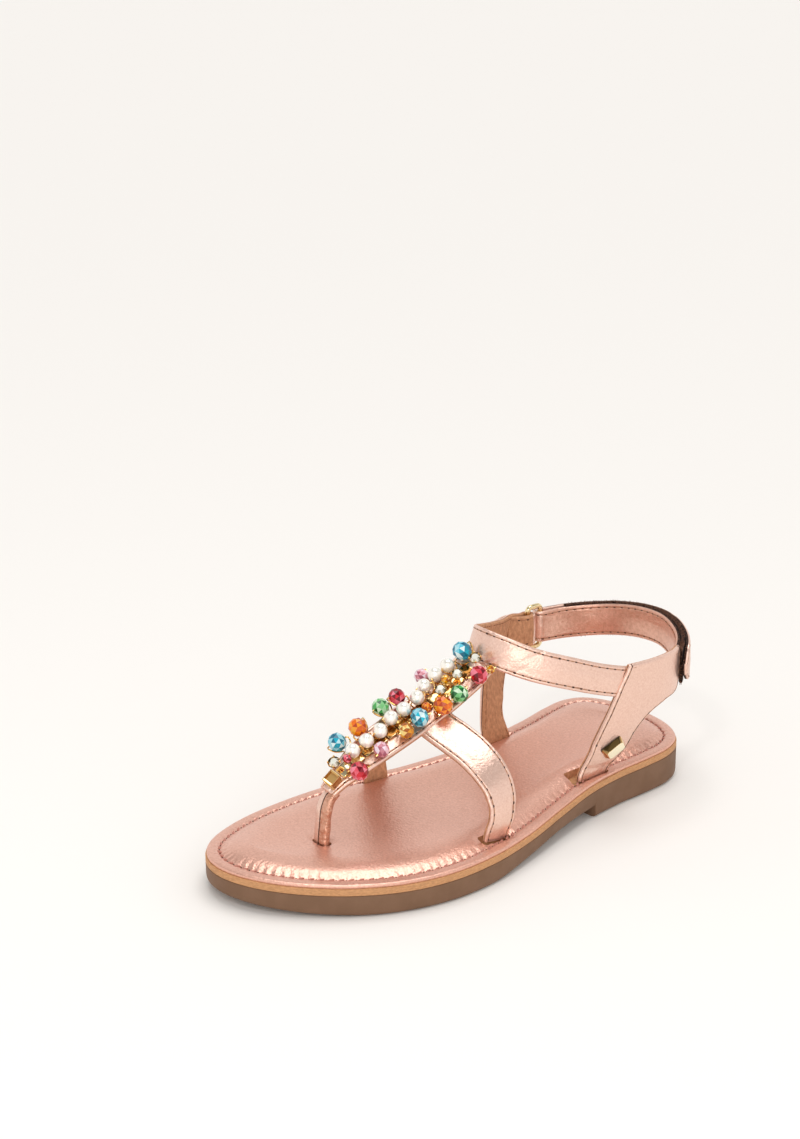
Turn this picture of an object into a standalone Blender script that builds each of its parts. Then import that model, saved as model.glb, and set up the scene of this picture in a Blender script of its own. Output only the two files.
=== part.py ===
"""Left greek sandal: rubber sole, leather board, padded footbed, strap upper, heel strap and beads.

Lengths are in millimetres and become metres when a mesh is made.
The shoe's own frame has +X to the outer side, the toe towards -Y and the floor at Z = 0.
"""
import math
from collections import namedtuple

import bmesh
import bpy
import numpy as np

for old in list(bpy.data.objects):
    bpy.data.objects.remove(old, do_unlink=True)

# Driving sizes
MM = 0.001
LENGTH = 212.0
SEAT = 0.3
LEATHER = 2.0
BOARD = 2.4
FOOTBED_EDGE = 1.3
ORIGIN_SHIFT = (-7.5, -0.75, 0.0)

# Sole outline: a row for each station, x of the outer and of the inner edge
Station = namedtuple("Station", "along outer inner")
HEEL_TIP_X = 0.0
TOE_TIP_X = -2.8
OUTLINE = (
    Station(104, 14.2, -16.7),
    Station(98, 24.8, -28.4),
    Station(88, 30.3, -32.7),
    Station(75, 32.0, -31.1),
    Station(59, 32.8, -27.3),
    Station(41, 35.4, -25.0),
    Station(21, 40.6, -25.8),
    Station(0, 46.7, -29.0),
    Station(-21, 51.2, -32.5),
    Station(-41, 51.7, -34.4),
    Station(-59, 47.6, -33.9),
    Station(-75, 39.5, -31.2),
    Station(-88, 29.2, -26.5),
    Station(-98, 18.2, -20.0),
    Station(-104, 7.5, -11.9),
)

# Side profile: height of the board's top edge and of the rubber's underside
Profile = namedtuple("Profile", "along rim under")
BREAST = 43.5
PROFILE = (
    Profile(106, 14.9, 0.0),
    Profile(75, 14.5, 0.0),
    Profile(42, 13.8, 4.4),
    Profile(20, 12.3, 4.0),
    Profile(0, 11.1, 2.2),
    Profile(-22, 10.8, 0.0),
    Profile(-70, 10.7, 0.0),
    Profile(-90, 11.3, 1.2),
    Profile(-106, 12.4, 3.2),
)
SIDE_STATIONS = 34

# Footbed: height above its bottom for each distance from the edge
Inset = namedtuple("Inset", "inset height")
FOOTBED = (
    Inset(0.5, 0.9),
    Inset(1.1, FOOTBED_EDGE),
    Inset(4.4, FOOTBED_EDGE),
    Inset(5.2, 0.9),
    Inset(6.4, 1.8),
    Inset(9.0, 2.3),
    Inset(13.0, 2.0),
)
FOOTBED_DISH = 0.6

# Straps: a row for each section, the middle of the outer face and the strap's width
Row = namedtuple("Row", "x y z width")
T_STRAP = (
    Row(4.5, -61.5, 32.3, 7.0),
    Row(4.8, -57.0, 35.8, 9.0),
    Row(5.2, -50.0, 40.0, 12.5),
    Row(5.5, -40.0, 44.6, 15.0),
    Row(5.5, -28.0, 48.9, 16.0),
    Row(5.5, -16.0, 53.2, 16.0),
    Row(5.2, -4.0, 58.2, 16.0),
    Row(4.8, 4.0, 61.9, 16.0),
    Row(4.5, 12.0, 67.0, 15.0),
)
T_FACING = (0.33, 0.0, 0.94)

POST_DEPTH = 3.2
POST = (
    Row(4.5, -59.4, 32.2, 5.6),
    Row(4.6, -62.4, 30.4, 6.6),
    Row(4.9, -64.6, 27.0, 6.8),
    Row(5.4, -66.2, 20.0, 6.8),
    Row(5.8, -67.2, 14.0, 7.0),
    Row(6.0, -67.4, 11.4, 7.0),
)
POST_FACING = (0.0, -1.0, 0.2)

OUTER_SIDE = (
    Row(7.0, -18.0, 51.2, 15.0),
    Row(13.0, -17.3, 48.9, 15.0),
    Row(21.0, -15.6, 46.0, 15.0),
    Row(30.3, -13.9, 42.3, 14.5),
    Row(37.4, -12.7, 37.5, 13.8),
    Row(42.4, -12.0, 31.5, 12.5),
    Row(44.3, -12.0, 26.0, 11.5),
    Row(44.6, -12.8, 20.0, 11.0),
    Row(43.5, -14.0, 14.6, 11.2),
    Row(43.2, -14.3, 12.3, 11.2),
)
INNER_SIDE = (
    Row(2.0, -23.5, 50.8, 12.0),
    Row(-3.0, -22.5, 52.2, 12.5),
    Row(-7.0, -19.8, 49.8, 13.0),
    Row(-12.0, -18.2, 46.0, 13.2),
    Row(-17.5, -17.6, 40.6, 13.2),
    Row(-21.7, -17.2, 35.8, 13.0),
    Row(-25.5, -17.3, 30.0, 12.2),
    Row(-27.4, -17.4, 22.0, 11.4),
    Row(-26.2, -17.5, 14.0, 11.2),
    Row(-25.9, -17.5, 12.0, 11.2),
)
SIDE_HUB = (5.5, 16.0)
SIDE_PITCH = 0.36

RING_X = -33.2
RING_FRONT_BAR = 68.3
RING_BACK_BAR = 75.4
RING_WIRE = 2.2
RING_MIDDLE = 52.9
RING_HEIGHT = 17.4
RING_CORNER = 1.9
FOLD = RING_WIRE / 2 + SEAT
FOLD_FACE = FOLD + LEATHER
FOLD_TAIL = 6.0

INSTEP = (
    Row(RING_X - FOLD_FACE, 67.0, 53.0, 13.2),
    Row(-34.2, 58.0, 54.6, 14.0),
    Row(-28.8, 48.0, 56.6, 13.5),
    Row(-21.5, 35.0, 60.5, 13.0),
    Row(-13.0, 22.5, 65.0, 13.0),
    Row(-4.5, 13.5, 69.0, 13.0),
    Row(4.0, 10.3, 70.6, 13.0),
    Row(12.5, 13.2, 69.0, 13.0),
    Row(22.0, 21.8, 64.8, 12.5),
    Row(29.5, 33.0, 61.0, 12.3),
    Row(35.3, 46.5, 56.6, 12.0),
    Row(38.0, 55.0, 54.6, 12.0),
    Row(38.6, 60.0, 53.8, 12.0),
)
ANKLE_HUB = (3.0, 57.0, 52.9)

# Quarters: a row for each section, its front and its rear end on the wall
Section = namedtuple("Section", "front_y front_z rear_y rear_z")
OUTER_QUARTER = (
    Section(38.8, 14.8, 53.7, 14.8),
    Section(39.2, 17.0, 54.2, 17.0),
    Section(40.8, 20.5, 57.3, 20.4),
    Section(43.0, 26.0, 60.9, 26.0),
    Section(45.3, 34.7, 63.4, 33.0),
    Section(48.0, 43.0, 69.0, 38.8),
    Section(50.0, 49.0, 76.0, 41.6),
    Section(52.0, 54.0, 83.0, 42.4),
    Section(54.0, 58.0, 83.0, 51.0),
    Section(55.4, 61.0, 83.0, 59.8),
)
INNER_QUARTER = (
    Section(32.6, 14.6, 47.0, 14.6),
    Section(32.4, 17.0, 46.4, 17.0),
    Section(32.0, 23.0, 45.0, 22.0),
    Section(32.2, 31.0, 45.6, 28.0),
    Section(33.2, 39.0, 49.0, 35.0),
    Section(36.0, 47.0, 54.0, 41.0),
    Section(39.0, 53.0, 59.0, 45.0),
    Section(42.0, 58.5, 62.0, 50.5),
    Section(44.5, 62.6, 63.0, 59.2),
)
Plan = namedtuple("Plan", "along across")
OUTER_PLAN = (
    Plan(34, 29.0),
    Plan(44, 34.0),
    Plan(50, 36.6),
    Plan(55, 38.0),
    Plan(65, 38.6),
    Plan(76, 37.5),
    Plan(84, 35.2),
)
INNER_PLAN = (
    Plan(30, -18.0),
    Plan(36, -22.2),
    Plan(42, -25.6),
    Plan(48, -28.8),
    Plan(58, -34.2),
    Plan(66, -35.6),
)
Spread = namedtuple("Spread", "height share")
WALL_SPREAD = (
    Spread(14, 0.0),
    Spread(17, 0.05),
    Spread(26, 0.42),
    Spread(34, 0.70),
    Spread(42, 0.90),
    Spread(50, 1.0),
)
OUTER_SLOT_X = 29.0
INNER_SLOT_X = -19.5
QUARTER_LAP = 1.1
QUARTER_LEATHER = 2.3

HEEL_STRAP = (
    Row(34.9, 84.3, 50.9, 17.0),
    Row(33.0, 88.0, 51.6, 16.4),
    Row(27.5, 94.5, 54.0, 14.6),
    Row(15.0, 101.0, 57.0, 13.6),
    Row(-1.0, 103.5, 56.6, 13.5),
    Row(-15.0, 100.5, 54.9, 13.5),
    Row(-25.0, 93.0, 53.4, 13.5),
    Row(-30.4, 84.0, 52.8, 13.5),
    Row(RING_X + FOLD, RING_BACK_BAR, 52.9, 13.2),
)
HEEL_HUB = (0.0, 70.0)
STRIP_DEPTH = 1.6
STRIP_MARGIN = 0.6
STRIP_START = 1.0
STRIP_END = 12.0
FLAP_GAP = STRIP_DEPTH + 2 * SEAT
TAB_START = 5.0
TAB_ROUND = 7.0
TAB_WIDTH = 15.5

# Slots in the footbed that the straps pass through: middle and size across and along
Slot = namedtuple("Slot", "x y wide long")
SLOTS = (
    Slot(5.9, -65.7, 8.0, 4.6),
    Slot(41.8, -14.6, 4.6, 13.4),
    Slot(-24.9, -17.5, 3.6, 12.4),
    Slot(27.4, 45.2, 7.2, 19.0),
    Slot(-19.8, 39.6, 3.8, 15.6),
)
SLOT_LOW = 6.0
SLOT_HIGH = 24.0

# Rivet on the outer quarter
RIVET_Y = 52.6
RIVET_Z = 27.6
RIVET_LEAN = -38.0
RIVET_HALF_LONG = 4.8
RIVET_HALF_WIDE = 3.3
RIVET_CHAMFER = 0.9
RIVET_HEIGHT = 2.4
RIVET_TOP_LONG = 3.7
RIVET_TOP_WIDE = 2.2
RIVET_BACK_RADIUS = 2.6
RIVET_BACK_DEPTH = 0.8

# Setting strip and beads on the T-strap, placed by run from its front end and distance across
BED_START = 6.5
BED_END = 74.0
BED_WIDTH = 5.0
BED_DEPTH = 1.0
SLIDE_RUN = 3.6
SLIDE_SIZE = (5.6, 4.6, 4.4)
SLIDE_BEVEL = 0.5
Bead = namedtuple("Bead", "kind finish run across size")
BEADS = (
    Bead("pearl", "pearl", 15.5, -1.5, 5.8),
    Bead("pearl", "pearl", 21.5, -1.0, 5.8),
    Bead("pearl", "pearl", 27.7, -0.8, 5.8),
    Bead("pearl", "pearl", 34.5, -2.5, 5.8),
    Bead("pearl", "pearl", 40.7, -2.2, 5.8),
    Bead("pearl", "pearl", 48.0, -2.8, 5.8),
    Bead("pearl", "pearl", 54.5, -5.7, 5.8),
    Bead("pearl", "pearl", 61.2, -6.5, 5.8),
    Bead("pearl", "pearl", 67.5, -5.8, 5.8),
    Bead("crystal", "aqua", 15.0, -10.0, 7.4),
    Bead("crystal", "orange", 23.5, -8.0, 7.4),
    Bead("crystal", "green", 35.7, -9.5, 7.0),
    Bead("crystal", "red", 43.0, -8.7, 7.0),
    Bead("crystal", "pink", 59.0, -11.5, 6.0),
    Bead("crystal", "aqua", 76.0, -5.0, 7.8),
    Bead("crystal", "red", 11.5, 6.3, 7.4),
    Bead("crystal", "pink", 23.0, 5.2, 6.2),
    Bead("crystal", "amber", 35.0, 5.2, 6.2),
    Bead("crystal", "aqua", 42.2, 4.8, 7.4),
    Bead("crystal", "orange", 52.3, 6.5, 7.6),
    Bead("crystal", "green", 60.2, 7.0, 7.4),
    Bead("crystal", "red", 71.5, 6.5, 7.4),
    Bead("stone", "clear", 8.2, -3.4, 5.0),
    Bead("stone", "clear", 57.0, 0.5, 5.0),
    Bead("stone", "clear", 66.5, 0.1, 5.0),
    Bead("stone", "clear", 75.5, 2.0, 5.0),
    Bead("seed", "amber", 61.8, -1.4, 4.0),
    Bead("seed", "red", 11.5, 0.4, 3.6),
    Bead("seed", "orange", 47.8, 2.4, 4.0),
    Bead("seed", "amber", 77.0, 7.5, 3.6),
)


def curve_through(knots, values, at):
    """Smooth curve through table rows: cubic pieces whose slopes are averaged from their neighbours."""
    knots = np.asarray(knots, float)
    values = np.asarray(values, float)
    slopes = np.gradient(values, knots, axis=0)
    at = np.clip(np.asarray(at, float), knots[0], knots[-1])
    piece = np.clip(np.searchsorted(knots, at, side="right") - 1, 0, len(knots) - 2)
    span = knots[piece + 1] - knots[piece]
    u = (at - knots[piece]) / span
    if values.ndim > 1:
        u, span = u[:, None], span[:, None]
    return ((1 + 2 * u) * (1 - u) ** 2 * values[piece] + u * (1 - u) ** 2 * span * slopes[piece]
            + u * u * (3 - 2 * u) * values[piece + 1] - u * u * (1 - u) * span * slopes[piece + 1])


def table_curve(rows, knot, value, at):
    """Reads one column of a table smoothly at places along another column."""
    rows = sorted(rows, key=lambda row: getattr(row, knot))
    knots = [getattr(row, knot) for row in rows]
    values = [getattr(row, value) for row in rows]
    return curve_through(knots, values, at)


def unit(vectors):
    return vectors / np.linalg.norm(vectors, axis=-1, keepdims=True)


# Materials and objects
frame = bpy.data.objects.new("shoe_frame", None)
frame.location = [value * MM for value in ORIGIN_SHIFT]
bpy.context.scene.collection.objects.link(frame)


def material(name, colour, roughness, metallic=0.0):
    made = bpy.data.materials.new(name)
    made.use_nodes = True
    shader = made.node_tree.nodes["Principled BSDF"]
    shader.inputs["Base Color"].default_value = (*colour, 1.0)
    shader.inputs["Roughness"].default_value = roughness
    shader.inputs["Metallic"].default_value = metallic
    return made


RUBBER = material("rubber", (0.22, 0.15, 0.10), 0.7)
TAN_BOARD = material("tan_board", (0.60, 0.36, 0.18), 0.6)
ROSE_LEATHER = material("rose_leather", (0.80, 0.50, 0.40), 0.35, 0.6)
FASTENER = material("fastener", (0.05, 0.03, 0.02), 0.95)
GOLD = material("gold", (0.85, 0.65, 0.30), 0.2, 1.0)
PEARL = material("pearl", (0.90, 0.86, 0.78), 0.25)
CLEAR = material("clear_stone", (0.85, 0.87, 0.85), 0.05)
CRYSTAL = {
    "aqua": material("aqua_crystal", (0.10, 0.50, 0.62), 0.05),
    "orange": material("orange_crystal", (0.85, 0.25, 0.02), 0.05),
    "green": material("green_crystal", (0.10, 0.45, 0.12), 0.05),
    "red": material("red_crystal", (0.70, 0.02, 0.06), 0.05),
    "pink": material("pink_crystal", (0.80, 0.50, 0.52), 0.05),
    "amber": material("amber_crystal", (0.85, 0.45, 0.03), 0.05),
}


def solid(name, points, faces, finish):
    """Makes one closed mesh object from points in millimetres, its faces turned outwards."""
    shape = bmesh.new()
    corners = [shape.verts.new([value * MM for value in point]) for point in points]
    for face in faces:
        shape.faces.new([corners[index] for index in face])
    return finished(name, shape, finish)


def finished(name, shape, finish):
    bmesh.ops.recalc_face_normals(shape, faces=shape.faces)
    mesh = bpy.data.meshes.new(name)
    shape.to_mesh(mesh)
    shape.free()
    mesh.materials.append(finish)
    mesh.shade_smooth()
    mesh.set_sharp_from_angle(angle=math.radians(35))
    made = bpy.data.objects.new(name, mesh)
    made.parent = frame
    bpy.context.scene.collection.objects.link(made)
    return made


def combine(target, other, operation):
    """Joins another object to a target, or cuts it away, and keeps the other as a hidden guide."""
    step = target.modifiers.new(operation.lower(), "BOOLEAN")
    step.operation = operation
    step.solver = "EXACT"
    step.object = other
    other.hide_render = True
    other.display_type = "WIRE"


# Sole
END = LENGTH / 2


def outline_point(turn):
    """Plan point for an angle that runs from the heel along the outer side to the toe and back."""
    rows = OUTLINE
    turns = [math.acos(row.along / END) for row in rows]
    outer = [row.outer for row in rows]
    inner = [row.inner for row in rows]
    knots = [0.0] + turns + [math.pi] + [2 * math.pi - t for t in reversed(turns)]
    values = [HEEL_TIP_X] + outer + [TOE_TIP_X] + inner[::-1]
    wrap = 3
    knots = [k - 2 * math.pi for k in knots[-wrap:]] + knots + [k + 2 * math.pi for k in knots[:wrap]]
    values = values[-wrap:] + values + values[:wrap]
    return np.stack([curve_through(knots, values, turn), END * np.cos(turn)], axis=-1)


def sole_turns():
    """Angles of the stations, evenly spread, with a pair on either side of the heel breast."""
    side = list(np.linspace(0, math.pi, SIDE_STATIONS + 1))
    breast = [math.acos((BREAST + 0.5) / END), math.acos((BREAST - 0.5) / END)]
    side = [t for t in side if min(abs(t - b) for b in breast) > 0.02] + breast
    side.sort()
    return np.array(side + [2 * math.pi - t for t in reversed(side[1:-1])])


TURNS = sole_turns()
HALF = len(TURNS) // 2
ALONG = END * np.cos(TURNS)
RIM = table_curve(PROFILE, "along", "rim", ALONG)


def under_height():
    heel = ALONG > BREAST
    arch = table_curve([row for row in PROFILE if row.along < 50], "along", "under", ALONG)
    return np.where(heel, 0.0, np.clip(arch, 0.0, None))


UNDER = under_height()


def loop_at(inset, heights):
    """The outline drawn in by an inset, at a height for each station."""
    step = 0.01
    edge = outline_point(TURNS)
    run = unit(outline_point(TURNS + step) - outline_point(TURNS - step))
    inwards = np.stack([run[:, 1], -run[:, 0]], axis=-1)
    middle = np.array([edge[:, 0].mean(), 0.0])
    if np.sum((middle - edge) * inwards) < 0:
        inwards = -inwards
    return np.column_stack([edge + inwards * inset, np.broadcast_to(heights, len(TURNS))])


def sole_layer(name, loops, finish, top_middle=None):
    """Stacks loops from bottom to top and closes both ends with rungs from side to side."""
    count = len(TURNS)
    points = [point for loop in loops for point in loop]
    faces = []
    for level in range(len(loops) - 1):
        low, high = level * count, (level + 1) * count
        for i in range(count):
            j = (i + 1) % count
            faces.append((low + i, low + j, high + j, high + i))
    for k in range(HALF):
        rung = [k, k + 1, (count - k - 1) % count, (count - k) % count]
        faces.append(list(dict.fromkeys(rung)))
    top = (len(loops) - 1) * count
    if top_middle is None:
        for k in range(HALF):
            rung = [k, k + 1, (count - k - 1) % count, (count - k) % count]
            faces.append([top + i for i in dict.fromkeys(rung)])
        return solid(name, points, faces, finish)
    spine = {}
    for k in range(1, HALF):
        spine[k] = len(points)
        middle = (loops[-1][k] + loops[-1][count - k]) / 2
        points.append((middle[0], middle[1], top_middle[k]))
    for k in range(HALF):
        outer = [top + k, top + k + 1]
        inner = [top + (count - k) % count, top + (count - k - 1) % count]
        crest = [spine.get(k), spine.get(k + 1)]
        for edge in (outer, inner):
            face = [edge[0], edge[1], crest[1], crest[0]]
            faces.append([i for i in dict.fromkeys(face) if i is not None])
    return solid(name, points, faces, finish)


SEAM = RIM - BOARD
outsole = sole_layer("outsole", [
    loop_at(3.0, UNDER),
    loop_at(1.2, UNDER + 0.2),
    loop_at(0.3, UNDER + 1.2),
    loop_at(0.0, UNDER + 2.6),
    loop_at(0.0, SEAM - 0.5),
    loop_at(0.4, SEAM),
], RUBBER)
midsole = sole_layer("midsole", [
    loop_at(0.4, SEAM + SEAT),
    loop_at(0.0, SEAM + SEAT + 0.4),
    loop_at(0.0, RIM - 0.4),
    loop_at(0.3, RIM),
], TAN_BOARD)
BED = RIM + SEAT
CREST = BED + FOOTBED[-1].height - FOOTBED_DISH * np.sin(TURNS) ** 2
bed_loops = [loop_at(FOOTBED[0].inset, BED)]
bed_loops += [loop_at(row.inset, BED + row.height) for row in FOOTBED]
insole = sole_layer("insole", bed_loops, ROSE_LEATHER, top_middle=CREST)


# Straps
def sheet(name, outer, inner, finish):
    """Closes two grids of points, the outer and the inner face of a strap, into one slab."""
    rows, columns = outer.shape[:2]
    size = rows * columns
    points = list(outer.reshape(-1, 3)) + list(inner.reshape(-1, 3))

    def at(i, j, side):
        return side * size + i * columns + j

    faces = []
    for i in range(rows - 1):
        for j in range(columns - 1):
            faces.append([at(i, j, 0), at(i, j + 1, 0), at(i + 1, j + 1, 0), at(i + 1, j, 0)])
            faces.append([at(i, j, 1), at(i + 1, j, 1), at(i + 1, j + 1, 1), at(i, j + 1, 1)])
        for j in (0, columns - 1):
            faces.append([at(i, j, 0), at(i + 1, j, 0), at(i + 1, j, 1), at(i, j, 1)])
    for j in range(columns - 1):
        for i in (0, rows - 1):
            faces.append([at(i, j, 0), at(i, j + 1, 0), at(i, j + 1, 1), at(i, j, 1)])
    return solid(name, points, faces, finish)


def strap_path(rows, count):
    """Evenly spaced points and widths along a table of strap sections."""
    table = np.array(rows, float)
    knots = np.concatenate([[0.0], np.cumsum(np.linalg.norm(np.diff(table[:, :3], axis=0), axis=1))])
    fine = curve_through(knots, table, np.linspace(0, knots[-1], 400))
    run = np.concatenate([[0.0], np.cumsum(np.linalg.norm(np.diff(fine[:, :3], axis=0), axis=1))])
    even = np.linspace(0, run[-1], count)
    return np.column_stack([np.interp(even, run, column) for column in fine.T]), even


def strap_frame(path, facing):
    """Direction along a strap, out of it and across it at each point of its path."""
    along = unit(np.gradient(path, axis=0))
    out = facing - np.sum(facing * along, axis=1, keepdims=True) * along
    out = unit(out)
    return along, out, np.cross(along, out)


def ribbon(name, path, widths, facing, depth, finish, lift=0.0):
    """A strap of even depth whose outer face follows a path and faces a given way."""
    _, out, across = strap_frame(path, facing)
    half = widths[:, None] / 2
    face = path + out * lift
    outer = np.stack([face - across * half, face + across * half], axis=1)
    return sheet(name, outer, outer - out[:, None, :] * depth, finish)


def away_from(path, hub):
    return path - np.array(hub)


def strap(name, rows, count, facing, depth, lift=0.0):
    path, _ = strap_path(rows, count)
    direction = facing(path[:, :3]) if callable(facing) else np.broadcast_to(facing, (count, 3))
    return ribbon(name, path[:, :3], path[:, 3], direction, depth, ROSE_LEATHER, lift)


def from_side_hub(path):
    lift = path - np.array([SIDE_HUB[0], 0.0, SIDE_HUB[1]])
    lift[:, 1] = -SIDE_PITCH * np.clip(lift[:, 2], 0.0, None)
    return lift


def instep_strap():
    """The instep strap with its inner end folded round the front bar of the ring."""
    path, _ = strap_path(INSTEP, 58)
    points, widths = path[:, :3], path[:, 3]
    facing = away_from(points, ANKLE_HUB)
    angles = np.linspace(0.0, math.pi, 9)
    bend_x = RING_X - FOLD_FACE * np.cos(angles)
    bend_y = RING_FRONT_BAR + FOLD_FACE * np.sin(angles)
    bend = np.column_stack([bend_x, bend_y, np.full(len(angles), RING_MIDDLE)])
    bend_facing = np.column_stack([-np.cos(angles), np.sin(angles), np.zeros(len(angles))])
    tail = np.array([[RING_X + FOLD_FACE, RING_FRONT_BAR - FOLD_TAIL, RING_MIDDLE]])
    tail_facing = np.array([[1.0, 0.0, 0.0]])
    points = np.vstack([tail, bend[::-1], points])
    facing = np.vstack([tail_facing, bend_facing[::-1], facing])
    widths = np.concatenate([np.full(len(bend) + 1, INSTEP[0].width), widths])
    return ribbon("upper", points, widths, facing, LEATHER, ROSE_LEATHER)


def wall(side, y, z):
    """Distance across of the shoe's wall, from the footbed's slot up to the instep strap's plan."""
    plan, slot = (OUTER_PLAN, OUTER_SLOT_X) if side > 0 else (INNER_PLAN, INNER_SLOT_X)
    share = table_curve(WALL_SPREAD, "height", "share", z)
    return slot * (1 - share) + table_curve(plan, "along", "across", y) * share


def quarter(name, rows, side, count=20, columns=6):
    """A wall panel from its slot up to the instep strap, lapped over that strap's outer face."""
    table = np.array(rows, float)
    table = curve_through(np.arange(len(rows)), table, np.linspace(0, len(rows) - 1, count))
    share = np.linspace(0, 1, columns)
    y = table[:, 0:1] * (1 - share) + table[:, 2:3] * share
    z = table[:, 1:2] * (1 - share) + table[:, 3:4] * share

    def place(y, z):
        return np.stack([wall(side, y.ravel(), z.ravel()).reshape(y.shape), y, z], axis=-1)

    step = 0.2
    face = place(y, z)
    out = np.cross(place(y + step, z) - face, place(y, z + step) - face)
    out = unit(out * np.sign(out[..., 0:1]) * side)
    outer = face + out * QUARTER_LAP
    return sheet(name, outer, outer - out * QUARTER_LEATHER, ROSE_LEATHER)


upper = instep_strap()
for piece in (
    strap("t_strap", T_STRAP, 26, T_FACING, LEATHER),
    strap("post", POST, 12, POST_FACING, POST_DEPTH),
    strap("outer_side", OUTER_SIDE, 22, from_side_hub, LEATHER),
    strap("inner_side", INNER_SIDE, 22, from_side_hub, LEATHER),
    quarter("outer_quarter", OUTER_QUARTER, 1),
    quarter("inner_quarter", INNER_QUARTER, -1),
):
    combine(upper, piece, "UNION")
for row in SLOTS:
    near = np.array([row.x - row.wide / 2, row.y - row.long / 2, SLOT_LOW])
    far = np.array([row.x + row.wide / 2, row.y + row.long / 2, SLOT_HIGH])
    box = [np.where([i & 1, i & 2, i & 4], far, near) for i in range(8)]
    sides = [(0, 1, 3, 2), (4, 5, 7, 6), (0, 1, 5, 4), (2, 3, 7, 6), (0, 2, 6, 4), (1, 3, 7, 5)]
    combine(insole, solid("slot", box, sides, ROSE_LEATHER), "DIFFERENCE")


# Heel strap, its fastener and the ring
def heel_run(count):
    """Outer face of the strap's inner run: points, widths and level outward directions."""
    path, even = strap_path(HEEL_STRAP, count)
    facing = path[:, :3] - np.array([*HEEL_HUB, 0.0])
    facing[:, 2] = 0.0
    _, out, _ = strap_frame(path[:, :3], facing)
    out[:, 2] = 0.0
    return path[:, :3], path[:, 3], unit(out), even


def heel_strap():
    """One strap: round the heel, back round the ring's rear bar and over itself to the tab."""
    run, width, out, even = heel_run(44)
    angles = np.linspace(0.0, math.pi, 9)[1:]
    bend = np.column_stack([RING_X + FOLD * np.cos(angles), RING_BACK_BAR - FOLD * np.sin(angles),
                            np.full(len(angles), RING_MIDDLE)])
    bend_facing = np.column_stack([-np.cos(angles), np.sin(angles), np.zeros(len(angles))])
    back = np.flatnonzero(even > TAB_START)[::-1][2:]
    flap = run[back] + out[back] * FLAP_GAP
    left = even[back] - even[back][-1]
    taper = np.sqrt(np.clip(1 - (1 - np.clip(left / TAB_ROUND, 0, 1)) ** 2, 0.12, 1))
    flap_width = np.minimum(width[back], TAB_WIDTH) * taper
    points = np.vstack([run, bend, flap])
    facing = np.vstack([out, bend_facing, -out[back]])
    widths = np.concatenate([width, np.full(len(bend), HEEL_STRAP[-1].width), flap_width])
    return ribbon("heel_strap", points, widths, facing, LEATHER - 0.2, ROSE_LEATHER)


def fastener_strip():
    run, width, out, even = heel_run(44)
    keep = (even > STRIP_START) & (even < even[-1] - STRIP_END)
    face = run + out * (SEAT + STRIP_DEPTH)
    widths = width[keep] - STRIP_MARGIN
    return ribbon("fastener_strip", face[keep], widths, out[keep], STRIP_DEPTH, FASTENER)


def ring(sides=8, corner_steps=4):
    """A round wire bent into an upright rectangle with round corners."""
    centre_y = (RING_FRONT_BAR + RING_BACK_BAR) / 2
    half_y = (RING_BACK_BAR - RING_FRONT_BAR) / 2 - RING_CORNER
    half_z = RING_HEIGHT / 2 - RING_CORNER
    points, faces = [], []
    turns = [quarter_turn * math.pi / 2 + math.pi / 2 * step / corner_steps
             for quarter_turn in range(4) for step in range(corner_steps + 1)]
    for number, turn in enumerate(turns):
        middle = (number // (corner_steps + 1)) * math.pi / 2 + math.pi / 4
        spine_y = centre_y + half_y * np.sign(math.cos(middle)) + RING_CORNER * math.cos(turn)
        spine_z = RING_MIDDLE + half_z * np.sign(math.sin(middle)) + RING_CORNER * math.sin(turn)
        spine = np.array([RING_X, spine_y, spine_z])
        radial = np.array([0.0, math.cos(turn), math.sin(turn)])
        sideways = np.array([1.0, 0.0, 0.0])
        for k in range(sides):
            angle = 2 * math.pi * k / sides
            points.append(spine + RING_WIRE / 2 * (radial * math.cos(angle) + sideways * math.sin(angle)))
    count = len(turns)
    for i in range(count):
        for k in range(sides):
            j, m = (i + 1) % count, (k + 1) % sides
            faces.append([i * sides + k, i * sides + m, j * sides + m, j * sides + k])
    return solid("ring", points, faces, GOLD)


heel = heel_strap()
strip = fastener_strip()
loop = ring()


# Rivet
def turned(name, centre, side, up, out, sections, finish):
    """A piece built up from flat sections: lists of plan points, each at a height above the centre."""
    points = []
    for section, height in sections:
        points += [centre + side * u + up * v + out * height for u, v in section]
    count = len(sections[0][0])
    faces = [list(range(count)), [(len(sections) - 1) * count + k for k in range(count)]]
    for level in range(len(sections) - 1):
        for k in range(count):
            m = (k + 1) % count
            low, high = level * count, (level + 1) * count
            faces.append([low + k, low + m, high + m, high + k])
    return solid(name, points, faces, finish)


def block(half_long, half_wide, chamfer):
    end = half_long - chamfer
    flank = half_wide - chamfer
    return [(half_long, -flank), (half_long, flank), (end, half_wide), (-end, half_wide),
            (-half_long, flank), (-half_long, -flank), (-end, -half_wide), (end, -half_wide)]


def circle(radius, count, turn=0.0):
    angles = [turn + 2 * math.pi * k / count for k in range(count)]
    return [(radius * math.cos(angle), radius * math.sin(angle)) for angle in angles]


def rivet_frame():
    def spot(y, z):
        return np.array([wall(1, np.array([y]), np.array([z]))[0], y, z])

    step = 0.5
    along = unit(spot(RIVET_Y + step, RIVET_Z) - spot(RIVET_Y - step, RIVET_Z))
    up = unit(spot(RIVET_Y, RIVET_Z + step) - spot(RIVET_Y, RIVET_Z - step))
    out = unit(np.cross(along, up))
    lean = math.radians(RIVET_LEAN)
    side = along * math.cos(lean) - up * math.sin(lean)
    rise = along * math.sin(lean) + up * math.cos(lean)
    return spot(RIVET_Y, RIVET_Z), side, rise, out * np.sign(out[0])


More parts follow.
